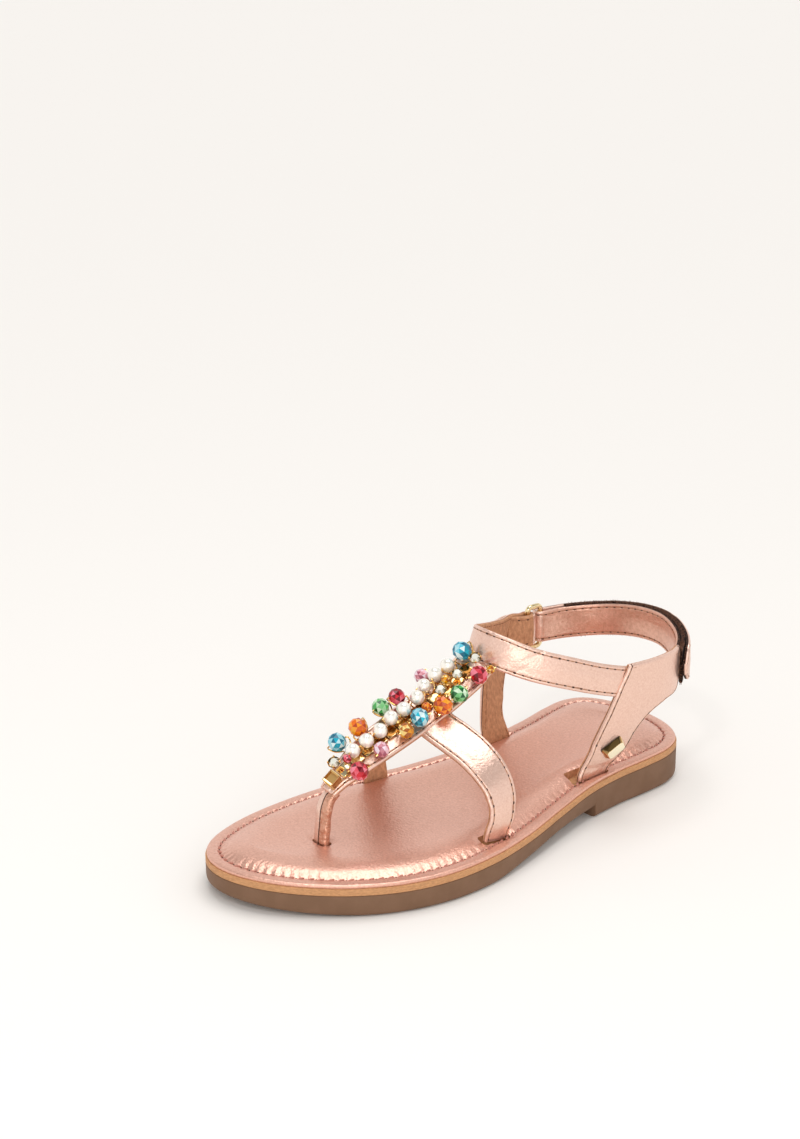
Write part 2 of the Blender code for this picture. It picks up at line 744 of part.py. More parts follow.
spot, along, up, out = rivet_frame()
stud = turned("rivet_cap", spot + out * (QUARTER_LAP + SEAT), along, up, out, [
    (block(RIVET_HALF_LONG, RIVET_HALF_WIDE, RIVET_CHAMFER), 0.0),
    (block(RIVET_HALF_LONG, RIVET_HALF_WIDE, RIVET_CHAMFER), 0.6),
    (block(RIVET_TOP_LONG, RIVET_TOP_WIDE, RIVET_CHAMFER), RIVET_HEIGHT),
], GOLD)
back_face = QUARTER_LAP - QUARTER_LEATHER - SEAT
rivet_back = turned("rivet_back", spot + out * (back_face - RIVET_BACK_DEPTH), along, up, out, [
    (circle(RIVET_BACK_RADIUS, 16), 0.0),
    (circle(RIVET_BACK_RADIUS, 16), RIVET_BACK_DEPTH),
], GOLD)

# Setting strip, slide and beads
T_COUNT = 160
T_PATH, T_RUN = strap_path(T_STRAP, T_COUNT)
T_ALONG, T_OUT, T_ACROSS = strap_frame(T_PATH[:, :3], np.broadcast_to(T_FACING, (T_COUNT, 3)))


def on_strap(run):
    """Middle of the T-strap's face at a run, its directions along, across and out, and its half width."""
    values = [np.array([np.interp(run, T_RUN, column) for column in table.T])
              for table in (T_PATH[:, :3], T_ALONG, T_ACROSS, T_OUT)]
    return (*values, np.interp(run, T_RUN, T_PATH[:, 3]) / 2)


def bead_bed():
    rows = [on_strap(run) for run in np.linspace(BED_START, BED_END, 18)]
    points = np.array([row[0] for row in rows])
    facing = np.array([row[3] for row in rows])
    widths = np.full(len(rows), BED_WIDTH)
    return ribbon("bead_bed", points, widths, facing, BED_DEPTH, GOLD, lift=SEAT + BED_DEPTH)


bed = bead_bed()
middle, along, across, out, _ = on_strap(SLIDE_RUN)
long, wide, high = SLIDE_SIZE
half_plan = [(long / 2, wide / 2), (-long / 2, wide / 2), (-long / 2, -wide / 2), (long / 2, -wide / 2)]
top_long, top_wide = long / 2 - SLIDE_BEVEL, wide / 2 - SLIDE_BEVEL
top_plan = [(top_long, top_wide), (-top_long, top_wide), (-top_long, -top_wide), (top_long, -top_wide)]
slide = turned("box_slide", middle + out * SEAT, along, across, out, [
    (half_plan, 0.0), (half_plan, high - SLIDE_BEVEL), (top_plan, high)], GOLD)

FINISHES = dict(CRYSTAL, pearl=PEARL, clear=CLEAR)
Ball = namedtuple("Ball", "centre radius")


def gap_to_strap(across_distance, rise, half_width, bed_here):
    clear = math.hypot(max(abs(across_distance) - half_width, 0.0), max(rise, 0.0))
    if bed_here:
        top = rise - SEAT - BED_DEPTH
        clear = min(clear, math.hypot(max(abs(across_distance) - BED_WIDTH / 2, 0.0), max(top, 0.0)))
    return clear


def settle(bead, placed):
    """Lifts a bead off the strap until a seat's gap clears the strap, the strip and earlier beads."""
    middle, along, across, out, half_width = on_strap(bead.run)
    radius = bead.size / 2
    bed_here = BED_START - radius < bead.run < BED_END + radius
    for rise in np.arange(0.0, 20.0, 0.05):
        centre = middle + across * bead.across + out * rise
        clear = gap_to_strap(bead.across, rise, half_width, bed_here) - radius
        for ball in placed:
            clear = min(clear, np.linalg.norm(centre - ball.centre) - ball.radius - radius)
        if clear >= SEAT:
            break
    return centre, along, across, out


def globe(radius, rings, sides, waist=1.0):
    """Sections of a round or faceted bead, pole to pole, drilled ends left flat."""
    sections = []
    for number, t in enumerate(np.linspace(0.12, 0.88, rings)):
        turn = math.pi / sides * (number % 2) * (1 - waist)
        section = circle(radius * math.sin(math.pi * t), sides, turn)
        sections.append((section, -radius * math.cos(math.pi * t)))
    return sections


def make_bead(number, bead, placed):
    centre, along, across, out = settle(bead, placed)
    radius = bead.size / 2
    placed.append(Ball(centre, radius))
    name = f"{bead.kind}_{number}"
    finish = FINISHES[bead.finish]
    if bead.kind == "pearl":
        return turned(name, centre, across, out, along, globe(radius, 8, 12), finish)
    if bead.kind == "crystal":
        return turned(name, centre, across, out, along, globe(radius, 5, 8, 0.0), finish)
    if bead.kind == "seed":
        return turned(name, centre, across, out, along, globe(radius, 4, 8, 0.0), finish)
    turned(f"cup_{number}", centre, along, across, out, [
        (circle(radius * 0.55, 12), -radius * 0.8),
        (circle(radius * 0.90, 12), -radius * 0.35),
        (circle(radius * 0.95, 12), -0.1),
        (circle(radius * 0.75, 12), 0.0),
    ], GOLD)
    return turned(name, centre, along, across, out, [
        (circle(radius * 0.85, 8), SEAT),
        (circle(radius * 0.85, 8), SEAT + 0.3),
        (circle(radius * 0.50, 8), radius * 0.6),
    ], finish)


placed_beads = []
kind_count = {}
for bead in BEADS:
    kind_count[bead.kind] = kind_count.get(bead.kind, 0) + 1
    make_bead(kind_count[bead.kind], bead, placed_beads)
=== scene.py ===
# %% [markdown]
# Dressing a greek sandal.
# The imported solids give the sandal's true size and places. This lesson puts leather, stitches,
# rubber, gold and beads on them, one piece at a time, after setting up a camera and light.

# %% Load the packed sandal
import math
from collections import namedtuple

import bmesh
import bpy
import numpy as np
from mathutils import Matrix, Vector


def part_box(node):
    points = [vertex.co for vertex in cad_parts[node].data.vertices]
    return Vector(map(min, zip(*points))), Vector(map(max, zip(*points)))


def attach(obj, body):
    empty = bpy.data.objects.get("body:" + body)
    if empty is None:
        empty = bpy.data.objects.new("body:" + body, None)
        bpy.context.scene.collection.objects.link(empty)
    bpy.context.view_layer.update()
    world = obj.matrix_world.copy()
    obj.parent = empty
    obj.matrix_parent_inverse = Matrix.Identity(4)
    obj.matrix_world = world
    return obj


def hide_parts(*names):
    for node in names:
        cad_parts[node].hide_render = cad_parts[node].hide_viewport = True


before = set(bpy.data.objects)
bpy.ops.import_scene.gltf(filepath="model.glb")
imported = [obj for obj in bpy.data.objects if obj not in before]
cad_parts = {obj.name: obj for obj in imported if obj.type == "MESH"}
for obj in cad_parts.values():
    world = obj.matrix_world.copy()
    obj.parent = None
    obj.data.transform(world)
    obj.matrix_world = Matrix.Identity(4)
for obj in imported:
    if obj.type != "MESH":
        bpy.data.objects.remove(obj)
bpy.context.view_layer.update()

print("solids:", len(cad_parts))

# %% [markdown]
# Lengths are easier to read in millimetres, in the shoe's own frame: +X to the outer side, the toe
# towards -Y, the floor at zero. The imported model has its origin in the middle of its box, so every
# point is moved by one shift and scaled to metres at the last moment.

# %% Units and small helpers
MM = 0.001
SHIFT = np.array([-7.5, -0.75, 0.0])


def metres(points):
    return (np.asarray(points, float) + SHIFT) * MM


def unit(vectors):
    return vectors / np.linalg.norm(vectors, axis=-1, keepdims=True)


def curve_through(knots, values, at):
    """Smooth curve through table rows, as cubic pieces with averaged slopes."""
    knots = np.asarray(knots, float)
    values = np.asarray(values, float)
    slopes = np.gradient(values, knots, axis=0)
    at = np.clip(np.asarray(at, float), knots[0], knots[-1])
    piece = np.clip(np.searchsorted(knots, at, side="right") - 1, 0, len(knots) - 2)
    span = knots[piece + 1] - knots[piece]
    u = (at - knots[piece]) / span
    if values.ndim > 1:
        u, span = u[:, None], span[:, None]
    return ((1 + 2 * u) * (1 - u) ** 2 * values[piece] + u * (1 - u) ** 2 * span * slopes[piece]
            + u * u * (3 - 2 * u) * values[piece + 1] - u * u * (1 - u) * span * slopes[piece + 1])


def smooth_step(low, high, value):
    share = np.clip((value - low) / (high - low), 0.0, 1.0)
    return share * share * (3 - 2 * share)


# %% [markdown]
# The camera comes first, because every later choice is judged through it. Its place and its three
# axes were found by fitting the sole's outline to the picture, and its lens from the same fit.

# %% Camera
CAMERA_PLACE = (509.3, -423.35, 323.47)
CAMERA_RIGHT = (0.61926, 0.78514, -0.00860)
CAMERA_UP = (-0.24421, 0.20300, 0.94824)
CAMERA_BACK = (0.74624, -0.58510, 0.31745)
LENS = 59.7

lens = bpy.data.cameras.new("photo_view")
lens.lens = LENS
lens.sensor_width = 36.0
lens.clip_end = 100.0
camera = bpy.data.objects.new("photo_view", lens)
turn = Matrix((CAMERA_RIGHT, CAMERA_UP, CAMERA_BACK)).transposed()
camera.matrix_world = Matrix.Translation(Vector(metres(CAMERA_PLACE))) @ turn.to_4x4()
bpy.context.scene.collection.objects.link(camera)
bpy.context.scene.camera = camera
print("camera at", [round(v, 3) for v in camera.location])

# %% [markdown]
# A studio sweep: one very large pale floor, a sky for fill that is dimmer overhead, a broad soft sun so
# that the floor stays evenly lit, two softboxes whose reflections make the metallic leather shine, and
# one small bright lamp that puts a spark on every bead.

# %% Floor and light
FLOOR_COLOUR = (0.928, 0.903, 0.870)
FLOOR_SIZE = 40.0


def simple_material(name, colour, roughness=0.5, metallic=0.0):
    made = bpy.data.materials.new(name)
    made.use_nodes = True
    shader = made.node_tree.nodes["Principled BSDF"]
    shader.inputs["Base Color"].default_value = (*colour, 1.0)
    shader.inputs["Roughness"].default_value = roughness
    shader.inputs["Metallic"].default_value = metallic
    return made


def mesh_object(name, shape):
    """Turns a finished bmesh into an object of the scene."""
    mesh = bpy.data.meshes.new(name)
    shape.to_mesh(mesh)
    shape.free()
    made = bpy.data.objects.new(name, mesh)
    bpy.context.scene.collection.objects.link(made)
    return made


def add_node(tree, kind, links=None, **settings):
    """Adds a node, sets its properties, and links or sets its inputs by name or number."""
    made = tree.nodes.new(kind)
    for label, value in settings.items():
        setattr(made, label, value)
    for label, source in (links or {}).items():
        if isinstance(source, bpy.types.NodeSocket):
            tree.links.new(source, made.inputs[label])
        else:
            made.inputs[label].default_value = source
    return made


shape = bmesh.new()
bmesh.ops.create_grid(shape, x_segments=2, y_segments=2, size=FLOOR_SIZE)
floor = mesh_object("floor", shape)
paper = simple_material("studio_paper", FLOOR_COLOUR, 0.9)
paper.node_tree.nodes["Principled BSDF"].inputs["Specular IOR Level"].default_value = 0.0
floor.data.materials.append(paper)

world = bpy.data.worlds.new("studio")
world.use_nodes = True
tree = world.node_tree
sky = tree.nodes["Background"]
sky.inputs["Color"].default_value = (1.0, 0.985, 0.97, 1.0)
ray = add_node(tree, "ShaderNodeTexCoord")
rise = add_node(tree, "ShaderNodeSeparateXYZ", {0: ray.outputs["Generated"]})
fade = add_node(tree, "ShaderNodeMapRange", {
    "Value": rise.outputs["Z"], "From Min": 0.55, "From Max": 0.85, "To Min": 0.95, "To Max": 0.26})
tree.links.new(fade.outputs[0], sky.inputs["Strength"])
bpy.context.scene.world = world


def lamp(name, place, target, energy, size=None, angle=None):
    """A softbox where a size is given, and otherwise a sun of that angle."""
    data = bpy.data.lights.new(name, "AREA" if size else "SUN")
    data.energy = energy
    if size:
        data.shape = "RECTANGLE"
        data.size, data.size_y = size
    else:
        data.angle = math.radians(angle)
    made = bpy.data.objects.new(name, data)
    made.location = place
    made.rotation_euler = (Vector(target) - Vector(place)).to_track_quat("-Z", "Y").to_euler()
    bpy.context.scene.collection.objects.link(made)


lamp("soft_sun", (-0.12, 0.36, 2.0), (0, 0, 0), 1.3, angle=44)
lamp("side_box", (0.55, -0.30, 0.50), (0.02, 0, 0.04), 0.42, (0.25, 0.35))
lamp("front_box", (0.80, -0.68, 0.20), (0, 0.03, 0.05), 1.0, (0.45, 0.30))
lamp("bead_spark", (0.30, -0.45, 0.62), (0, -0.02, 0.05), 0.5, (0.06, 0.06))
bpy.context.scene.view_settings.view_transform = "Standard"

# %% [markdown]
# Three effects come back in several finishes: the pebbled grain of leather, a slow mottling of tone,
# and fine fibres. Each is a small node group with named sockets, built once and placed where needed.
# The groups read Object coordinates, so a pattern keeps its real size in metres.

# %% Shared effects
def node_group(name, inputs, outputs):
    group = bpy.data.node_groups.new(name, "ShaderNodeTree")
    for label, value in inputs.items():
        socket = group.interface.new_socket(label, in_out="INPUT", socket_type="NodeSocketFloat")
        socket.default_value = value
    for label in outputs:
        group.interface.new_socket(label, in_out="OUTPUT", socket_type="NodeSocketFloat")
    return group, group.nodes.new("NodeGroupInput"), group.nodes.new("NodeGroupOutput")


def math_node(tree, operation, *values, **settings):
    made = add_node(tree, "ShaderNodeMath", dict(enumerate(values)), operation=operation, **settings)
    return made.outputs[0]


def grain_group():
    """Pebbled leather: rounded cells, finer noise and a net of creases, out as Height."""
    inputs = {"Cells per metre": 1800.0, "Fine share": 0.35, "Creases": 0.3, "Creases per metre": 320.0}
    group, start, end = node_group("leather_grain", inputs, ["Height"])
    place = add_node(group, "ShaderNodeTexCoord").outputs["Object"]
    warp = add_node(group, "ShaderNodeTexNoise", {"Vector": place, "Scale": 420.0, "Detail": 2.0})
    bent = add_node(group, "ShaderNodeMixRGB", {0: 0.0012, 1: place, 2: warp.outputs["Color"]},
                    blend_type="ADD")
    cells = add_node(group, "ShaderNodeTexVoronoi", {"Vector": bent.outputs[0], "Scale": start.outputs[0]},
                     feature="SMOOTH_F1")
    dome = math_node(group, "SUBTRACT", 1.0, cells.outputs["Distance"])
    double = math_node(group, "MULTIPLY", start.outputs[0], 2.7)
    fine = add_node(group, "ShaderNodeTexNoise", {"Vector": place, "Scale": double, "Detail": 3.0})
    mixed = add_node(group, "ShaderNodeMix", {0: start.outputs[1], 2: dome, 3: fine.outputs["Fac"]})
    folds = add_node(group, "ShaderNodeTexNoise", {"Vector": place, "Scale": start.outputs[3], "Detail": 3.0})
    valley = math_node(group, "ABSOLUTE", math_node(group, "SUBTRACT", folds.outputs["Fac"], 0.5))
    valley = math_node(group, "MULTIPLY", valley, 7.0, use_clamp=True)
    creased = math_node(group, "MULTIPLY", valley, start.outputs[2])
    group.links.new(math_node(group, "ADD", mixed.outputs[0], creased), end.inputs[0])
    return group


def mottle_group():
    """Slow change of tone over a hide: noise between two limits, out as Mask from 0 to 1."""
    group, start, end = node_group("mottle", {"Per metre": 70.0, "Low": 0.35, "High": 0.65}, ["Mask"])
    place = add_node(group, "ShaderNodeTexCoord").outputs["Object"]
    broad = add_node(group, "ShaderNodeTexNoise",
                     {"Vector": place, "Scale": start.outputs[0], "Detail": 4.0})
    mask = add_node(group, "ShaderNodeMapRange",
                    {0: broad.outputs["Fac"], 1: start.outputs[1], 2: start.outputs[2]},
                    interpolation_type="SMOOTHSTEP")
    group.links.new(mask.outputs[0], end.inputs[0])
    return group


def fibre_group():
    """Short fibres, as on suede, board or tape: stretched noise, out as Height."""
    group, start, end = node_group("fibres", {"Per metre": 2500.0, "Stretch": 0.15}, ["Height"])
    place = add_node(group, "ShaderNodeTexCoord").outputs["Object"]
    size = add_node(group, "ShaderNodeCombineXYZ", {0: 1.0, 1: 1.0, 2: start.outputs[1]})
    longer = add_node(group, "ShaderNodeVectorMath", {0: place, 1: size.outputs[0]}, operation="MULTIPLY")
    noise = add_node(group, "ShaderNodeTexNoise", {"Vector": longer.outputs[0], "Scale": start.outputs[0],
                                                   "Detail": 3.0, "Roughness": 0.65})
    group.links.new(noise.outputs["Fac"], end.inputs[0])
    return group


GRAIN = grain_group()
MOTTLE = mottle_group()
FIBRES = fibre_group()
print("effects:", [g.name for g in bpy.data.node_groups])

# %% [markdown]
# A finish is then a Principled shader with a few lines of setup: which group gives its tone, between
# which two colours, how the same mask changes its roughness, and which group gives its bump.

# %% Finishes made from the effects
def effect(tree, group, **values):
    made = add_node(tree, "ShaderNodeGroup", node_tree=group)
    for label, value in values.items():
        made.inputs[label.replace("_", " ")].default_value = value
    return made


def finish(name, dark, light, rough, metallic=0.0, tone=None, bump=None, depth=0.0001, strength=0.3,
           **sockets):
    """Tone is (group, its values), rough is (on dark, on light), bump is (group, its values)."""
    made = simple_material(name, light, rough[0], metallic)
    tree = made.node_tree
    shader = tree.nodes["Principled BSDF"]
    for label, value in sockets.items():
        shader.inputs[label.replace("_", " ")].default_value = value
    if tone:
        mask = effect(tree, tone[0], **tone[1]).outputs[0]
        colour = add_node(tree, "ShaderNodeMix", {0: mask, 6: (*dark, 1.0), 7: (*light, 1.0)},
                          data_type="RGBA")
        tree.links.new(colour.outputs[2], shader.inputs["Base Color"])
        gloss = add_node(tree, "ShaderNodeMapRange", {0: mask, 3: rough[0], 4: rough[1]})
        tree.links.new(gloss.outputs[0], shader.inputs["Roughness"])
    if bump:
        height = effect(tree, bump[0], **bump[1]).outputs[0]
        raised = add_node(tree, "ShaderNodeBump",
                          {"Strength": strength, "Distance": depth, "Height": height})
        tree.links.new(raised.outputs[0], shader.inputs["Normal"])
    return made


ROSE = finish("rose_gold_leather", (0.70, 0.41, 0.31), (1.0, 0.75, 0.64), (0.36, 0.25), 0.82,
              tone=(FIBRES, {"Per_metre": 1400.0, "Stretch": 1.0}),
              bump=(GRAIN, {"Cells_per_metre": 1300.0, "Creases": 0.35}), depth=0.00022, strength=0.45)
# A darker copy of the rose leather, used as painted shade on the faces inside the heel strap.
SHADED_ROSE = finish("rose_leather_painted_shade", (0.52, 0.26, 0.175), (0.96, 0.60, 0.475), (0.36, 0.24), 0.82,
                tone=(FIBRES, {"Per_metre": 700.0, "Stretch": 1.0}),
                bump=(GRAIN, {"Cells_per_metre": 1300.0, "Creases": 0.35}), depth=0.00022, strength=0.5)
COARSE = finish("hammered_rose_leather", (0.40, 0.15, 0.075), (0.98, 0.58, 0.43), (0.36, 0.26), 0.82,
                tone=(FIBRES, {"Per_metre": 900.0, "Stretch": 1.0}),
                bump=(GRAIN, {"Cells_per_metre": 800.0, "Creases": 0.5}), depth=0.0004, strength=0.8)
FOOTBED = finish("rose_footbed_leather", (0.56, 0.275, 0.195), (1.0, 0.61, 0.49), (0.36, 0.25), 0.78,
                 tone=(FIBRES, {"Per_metre": 1300.0, "Stretch": 1.0}),
                 bump=(GRAIN, {"Cells_per_metre": 1100.0, "Creases": 0.12}), depth=0.0003, strength=0.5)
LINING = finish("tan_lining", (0.24, 0.09, 0.035), (0.90, 0.48, 0.265), (0.92, 0.85),
                tone=(FIBRES, {"Per_metre": 800.0, "Stretch": 0.6}),
                bump=(GRAIN, {"Cells_per_metre": 900.0, "Creases": 0.3}), depth=0.0003, strength=0.6)
# Dark glue lines and seams, as on the post. The same finish is also painted shade, in the quarters' slit
# groove and in the needle holes.
SEAM_AND_SHADE = finish("dark_seam_and_painted_shade", (0.05, 0.018, 0.012), (0.10, 0.04, 0.025), (0.9, 0.8),
              tone=(MOTTLE, {"Per_metre": 300.0}))
BOARD = finish("tan_board_edge", (0.26, 0.095, 0.03), (0.86, 0.46, 0.21), (0.75, 0.6),
               tone=(FIBRES, {"Per_metre": 700.0, "Stretch": 4.0}),
               bump=(FIBRES, {"Per_metre": 1400.0, "Stretch": 5.0}), depth=0.0002, strength=0.4)
RUBBER = finish("taupe_rubber", (0.185, 0.098, 0.054), (0.206, 0.110, 0.062), (0.62, 0.55),
                tone=(MOTTLE, {"Per_metre": 120.0}), bump=(FIBRES, {"Per_metre": 2600.0, "Stretch": 1.0}),
                depth=0.0001, strength=0.25, Specular_IOR_Level=0.3)
GOLD = finish("warm_gold", (0.80, 0.45, 0.13), (0.97, 0.67, 0.30), (0.20, 0.11), 1.0,
              tone=(MOTTLE, {"Per_metre": 400.0}))
PALE_GOLD = finish("pale_gold", (0.80, 0.63, 0.33), (0.95, 0.81, 0.50), (0.16, 0.10), 1.0,
                   tone=(MOTTLE, {"Per_metre": 400.0}))
THREAD = finish("brown_thread", (0.30, 0.13, 0.065), (0.62, 0.35, 0.22), (1.0, 0.95),
                tone=(FIBRES, {"Per_metre": 5000.0, "Stretch": 1.0}), bump=(FIBRES, {"Per_metre": 6000.0}),
                depth=0.0001, strength=0.5, Specular_IOR_Level=0.0)
PINK_THREAD = finish("rose_thread", (0.34, 0.11, 0.08), (0.66, 0.30, 0.23), (0.85, 0.7),
                     tone=(FIBRES, {"Per_metre": 5000.0, "Stretch": 1.0}),
                     bump=(FIBRES, {"Per_metre": 6000.0}), depth=0.0001, strength=0.5)
TAN_THREAD = finish("tan_thread", (0.16, 0.055, 0.02), (0.34, 0.14, 0.06), (0.95, 0.85),
                    tone=(FIBRES, {"Per_metre": 5000.0, "Stretch": 1.0}), Specular_IOR_Level=0.1)
TAPE_PILE = finish("brown_tape_pile", (0.03, 0.012, 0.007), (0.36, 0.18, 0.12), (0.98, 0.9),
                   tone=(FIBRES, {"Per_metre": 2500.0}), Specular_IOR_Level=0.1)
TAPE = finish("brown_loop_tape", (0.012, 0.004, 0.002), (0.26, 0.12, 0.075), (0.98, 0.9),
              tone=(MOTTLE, {"Per_metre": 2200.0, "Low": 0.46, "High": 0.70}),
              bump=(FIBRES, {"Per_metre": 1500.0}), depth=0.001, strength=1.0, Specular_IOR_Level=0.1,
              Sheen_Weight=0.08)
NACRE = finish("pearl_nacre", (0.94, 0.90, 0.81), (0.99, 0.96, 0.90), (0.18, 0.16), 0.34,
               tone=(MOTTLE, {"Per_metre": 220.0}), Coat_Weight=1.0, Coat_Roughness=0.03, Coat_IOR=1.7,
               Specular_IOR_Level=0.9)
print("finishes:", len(bpy.data.materials))

# %% [markdown]
# Most pieces are a section carried along a path, the way an extruder or a strap cutter works. The
# helper draws the first ring of vertices, extrudes its edges to the next section with the extrude
# operator, and moves the new ring to its place. Finishes are a list for each step, one number for each
# side of the ring, and the last list serves for all later steps.

# %% Carrying a section along a path
def sweep(shape, rings, finishes=None, closed_path=False, caps=True):
    first = [shape.verts.new(point) for point in rings[0]]
    count = len(first)
    edges = [shape.edges.new((first[k], first[(k + 1) % count])) for k in range(count)]
    opening, ring_edges, ring = list(edges), edges, first
    for step, points in enumerate(rings[1:]):
        fresh = set(bmesh.ops.extrude_edge_only(shape, edges=ring_edges)["geom"])
        after = []
        for vertex, point in zip(ring, points):
            beside = (edge.other_vert(vertex) for edge in vertex.link_edges)
            follower = next(other for other in beside if other in fresh)
            follower.co = point
            after.append(follower)
        next_edges = []
        for k, edge in enumerate(ring_edges):
            face = next(f for f in edge.link_faces if f in fresh)
            face.smooth = True
            if finishes:
                face.material_index = finishes[min(step, len(finishes) - 1)][k]
            next_edges.append(shape.edges.get((after[k], after[(k + 1) % count])))
        ring, ring_edges = after, next_edges
    if closed_path:
        for face in bmesh.ops.bridge_loops(shape, edges=opening + ring_edges)["faces"]:
            face.smooth = True
    elif caps:
        bmesh.ops.contextual_create(shape, geom=opening)
        bmesh.ops.contextual_create(shape, geom=ring_edges)
    return ring


def pour(shape, part):
    """Adds a small bmesh to a large one: quicker than making hundreds of shapes in the large one."""
    mesh = bpy.data.meshes.new("part")
    part.to_mesh(mesh)
    part.free()
    shape.from_mesh(mesh)
    bpy.data.meshes.remove(mesh)


def piece(name, shape, materials, slot, replaces=(), sharp=40.0):
    """Finishes a bmesh as an object that rides on the shoe and stands for its CAD nodes."""
    bmesh.ops.recalc_face_normals(shape, faces=shape.faces)
    made = mesh_object(name, shape)
    for material in materials:
        made.data.materials.append(material)
    made.data.set_sharp_from_angle(angle=math.radians(sharp))
    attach(made, "root")
    if replaces:
        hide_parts(*replaces)
    print(name, len(made.data.polygons), "faces")
    return made


# %% [markdown]
# The sole's outline is a closed curve through a short table of stations, the same one that the solids
# use. The angle runs from the heel along the outer side to the toe and back, so both sides have a
# point at every station and can be bridged across.

# %% Sole outline and heights
Station = namedtuple("Station", "along outer inner")
HALF_LENGTH = 106.0
HEEL_TIP_X, TOE_TIP_X = 0.0, -2.8
OUTLINE = (
    Station(104, 14.2, -16.7), Station(98, 24.8, -28.4), Station(88, 30.3, -32.7), Station(75, 32.0, -31.1),
    Station(59, 32.8, -27.3), Station(41, 35.4, -25.0), Station(21, 40.6, -25.8), Station(0, 46.7, -29.0),
    Station(-21, 51.2, -32.5), Station(-41, 51.7, -34.4), Station(-59, 47.6, -33.9),
    Station(-75, 39.5, -31.2), Station(-88, 29.2, -26.5), Station(-98, 18.2, -20.0),
    Station(-104, 7.5, -11.9))
Profile = namedtuple("Profile", "along rim under")
PROFILE = (
    Profile(-106, 12.4, 3.2), Profile(-90, 11.3, 1.2), Profile(-70, 10.7, 0.0), Profile(-22, 10.8, 0.0),
    Profile(0, 11.1, 2.2), Profile(20, 12.3, 4.0), Profile(42, 13.8, 4.4), Profile(75, 14.5, 4.4),
    Profile(106, 14.9, 4.4))
BREAST = 43.5
SIDE_STATIONS = 320
BOARD_DEPTH = 2.4
SEAT = 0.3


def outline_point(turn):
    turns = [math.acos(row.along / HALF_LENGTH) for row in OUTLINE]
    knots = [0.0] + turns + [math.pi] + [2 * math.pi - t for t in reversed(turns)]
    values = [HEEL_TIP_X] + [r.outer for r in OUTLINE] + [TOE_TIP_X] + [r.inner for r in reversed(OUTLINE)]
    knots = [k - 2 * math.pi for k in knots[-3:]] + knots + [k + 2 * math.pi for k in knots[:3]]
    values = values[-3:] + values + values[:3]
    return np.stack([curve_through(knots, values, turn), HALF_LENGTH * np.cos(turn)], axis=-1)


def run_along(points):
    """Distance travelled along a line of points, from 0 at the first."""
    return np.concatenate([[0.0], np.cumsum(np.linalg.norm(np.diff(points, axis=0), axis=1))])


side_turns = list(np.linspace(0, math.pi, SIDE_STATIONS + 1))
breast_turns = [math.acos((BREAST + 0.5) / HALF_LENGTH), math.acos((BREAST - 0.5) / HALF_LENGTH)]
side_turns = sorted([t for t in side_turns if min(abs(t - b) for b in breast_turns) > 0.003] + breast_turns)
TURNS = np.array(side_turns + [2 * math.pi - t for t in reversed(side_turns[1:-1])])
COUNT = len(TURNS)
RUNGS = COUNT // 2
ALONG = HALF_LENGTH * np.cos(TURNS)
RIM = curve_through([r.along for r in PROFILE], [r.rim for r in PROFILE], ALONG)
ARCH = np.clip(curve_through([r.along for r in PROFILE], [r.under for r in PROFILE], ALONG), 0.0, None)
UNDER = np.where(ALONG > BREAST, 0.0, ARCH)

EDGE = outline_point(TURNS)
RUN = unit(outline_point(TURNS + 0.01) - outline_point(TURNS - 0.01))
INWARD = np.stack([RUN[:, 1], -RUN[:, 0]], axis=-1)
INWARD *= np.sign(np.sum((np.array([4.0, 0.0]) - EDGE) * INWARD))
whole_run = run_along(np.vstack([EDGE, EDGE[:1]]))
AROUND, GIRTH = whole_run[:-1], whole_run[-1]
print("outline length", round(GIRTH, 1), "mm")


def sole_loop(inset, height):
    return np.column_stack([EDGE + INWARD * np.reshape(inset, (-1, 1)), np.broadcast_to(height, COUNT)])


def close_across(shape, ring):
    """Closes a loop of the sole from side to side: two chains of its edges are bridged."""
    outer = [shape.edges.get((ring[k], ring[k + 1])) for k in range(1, RUNGS - 1)]
    inner = [shape.edges.get((ring[COUNT - k], ring[COUNT - k - 1])) for k in range(1, RUNGS - 1)]
    bridge = bmesh.ops.bridge_loops(shape, edges=outer + inner)
    for face in bridge["faces"]:
        face.smooth = True
    bmesh.ops.contextual_create(shape, geom=[ring[0], ring[1], ring[-1]])
    bmesh.ops.contextual_create(shape, geom=[ring[RUNGS - 1], ring[RUNGS], ring[RUNGS + 1]])
    return bridge["edges"]


def ring_at(shape, number):
    shape.verts.ensure_lookup_table()
    return [shape.verts[number * COUNT + k] for k in range(COUNT)]


# %% [markdown]
# The rubber outsole is one moulding: a soft radius at the floor, an upright wall, a raised arch and a
# heel block that starts at a square step. Loops of the outline at rising heights make all of it.

# %% Outsole
SEAM_LINE = RIM - BOARD_DEPTH
wall_foot = [(3.4, 0.0), (2.2, 0.03), (1.3, 0.22), (0.7, 0.55), (0.3, 1.05), (0.08, 1.8), (0.0, 2.7)]
wall_head = [(0.0, -0.55), (0.06, -0.25), (0.22, -0.06), (0.5, 0.0)]
loops = [sole_loop(inset, UNDER + rise) for inset, rise in wall_foot]
loops += [sole_loop(inset, SEAM_LINE + rise) for inset, rise in wall_head]
shape = bmesh.new()
last = sweep(shape, [metres(loop) for loop in loops], caps=False)
close_across(shape, last)
close_across(shape, ring_at(shape, 0))
piece("outsole_rubber", shape, [RUBBER], "rubber", ["outsole"], sharp=50.0)

# %% [markdown]
# Between rubber and footbed lies a board of tan leather. Its cut edge is the warm line that runs round
# the whole shoe, so its corners are only just broken.

# %% Board
board_wall = [(0.5, 0.03), (0.16, 0.08), (0.0, 0.3), (0.05, 1.2), (0.0, BOARD_DEPTH - 0.25),
              (0.1, BOARD_DEPTH + 0.1), (0.4, BOARD_DEPTH + 0.25)]
shape = bmesh.new()
last = sweep(shape, [metres(sole_loop(inset, SEAM_LINE + rise)) for inset, rise in board_wall], caps=False)
close_across(shape, last)
close_across(shape, ring_at(shape, 0))
piece("leather_board", shape, [BOARD], "tan_board", ["midsole"])

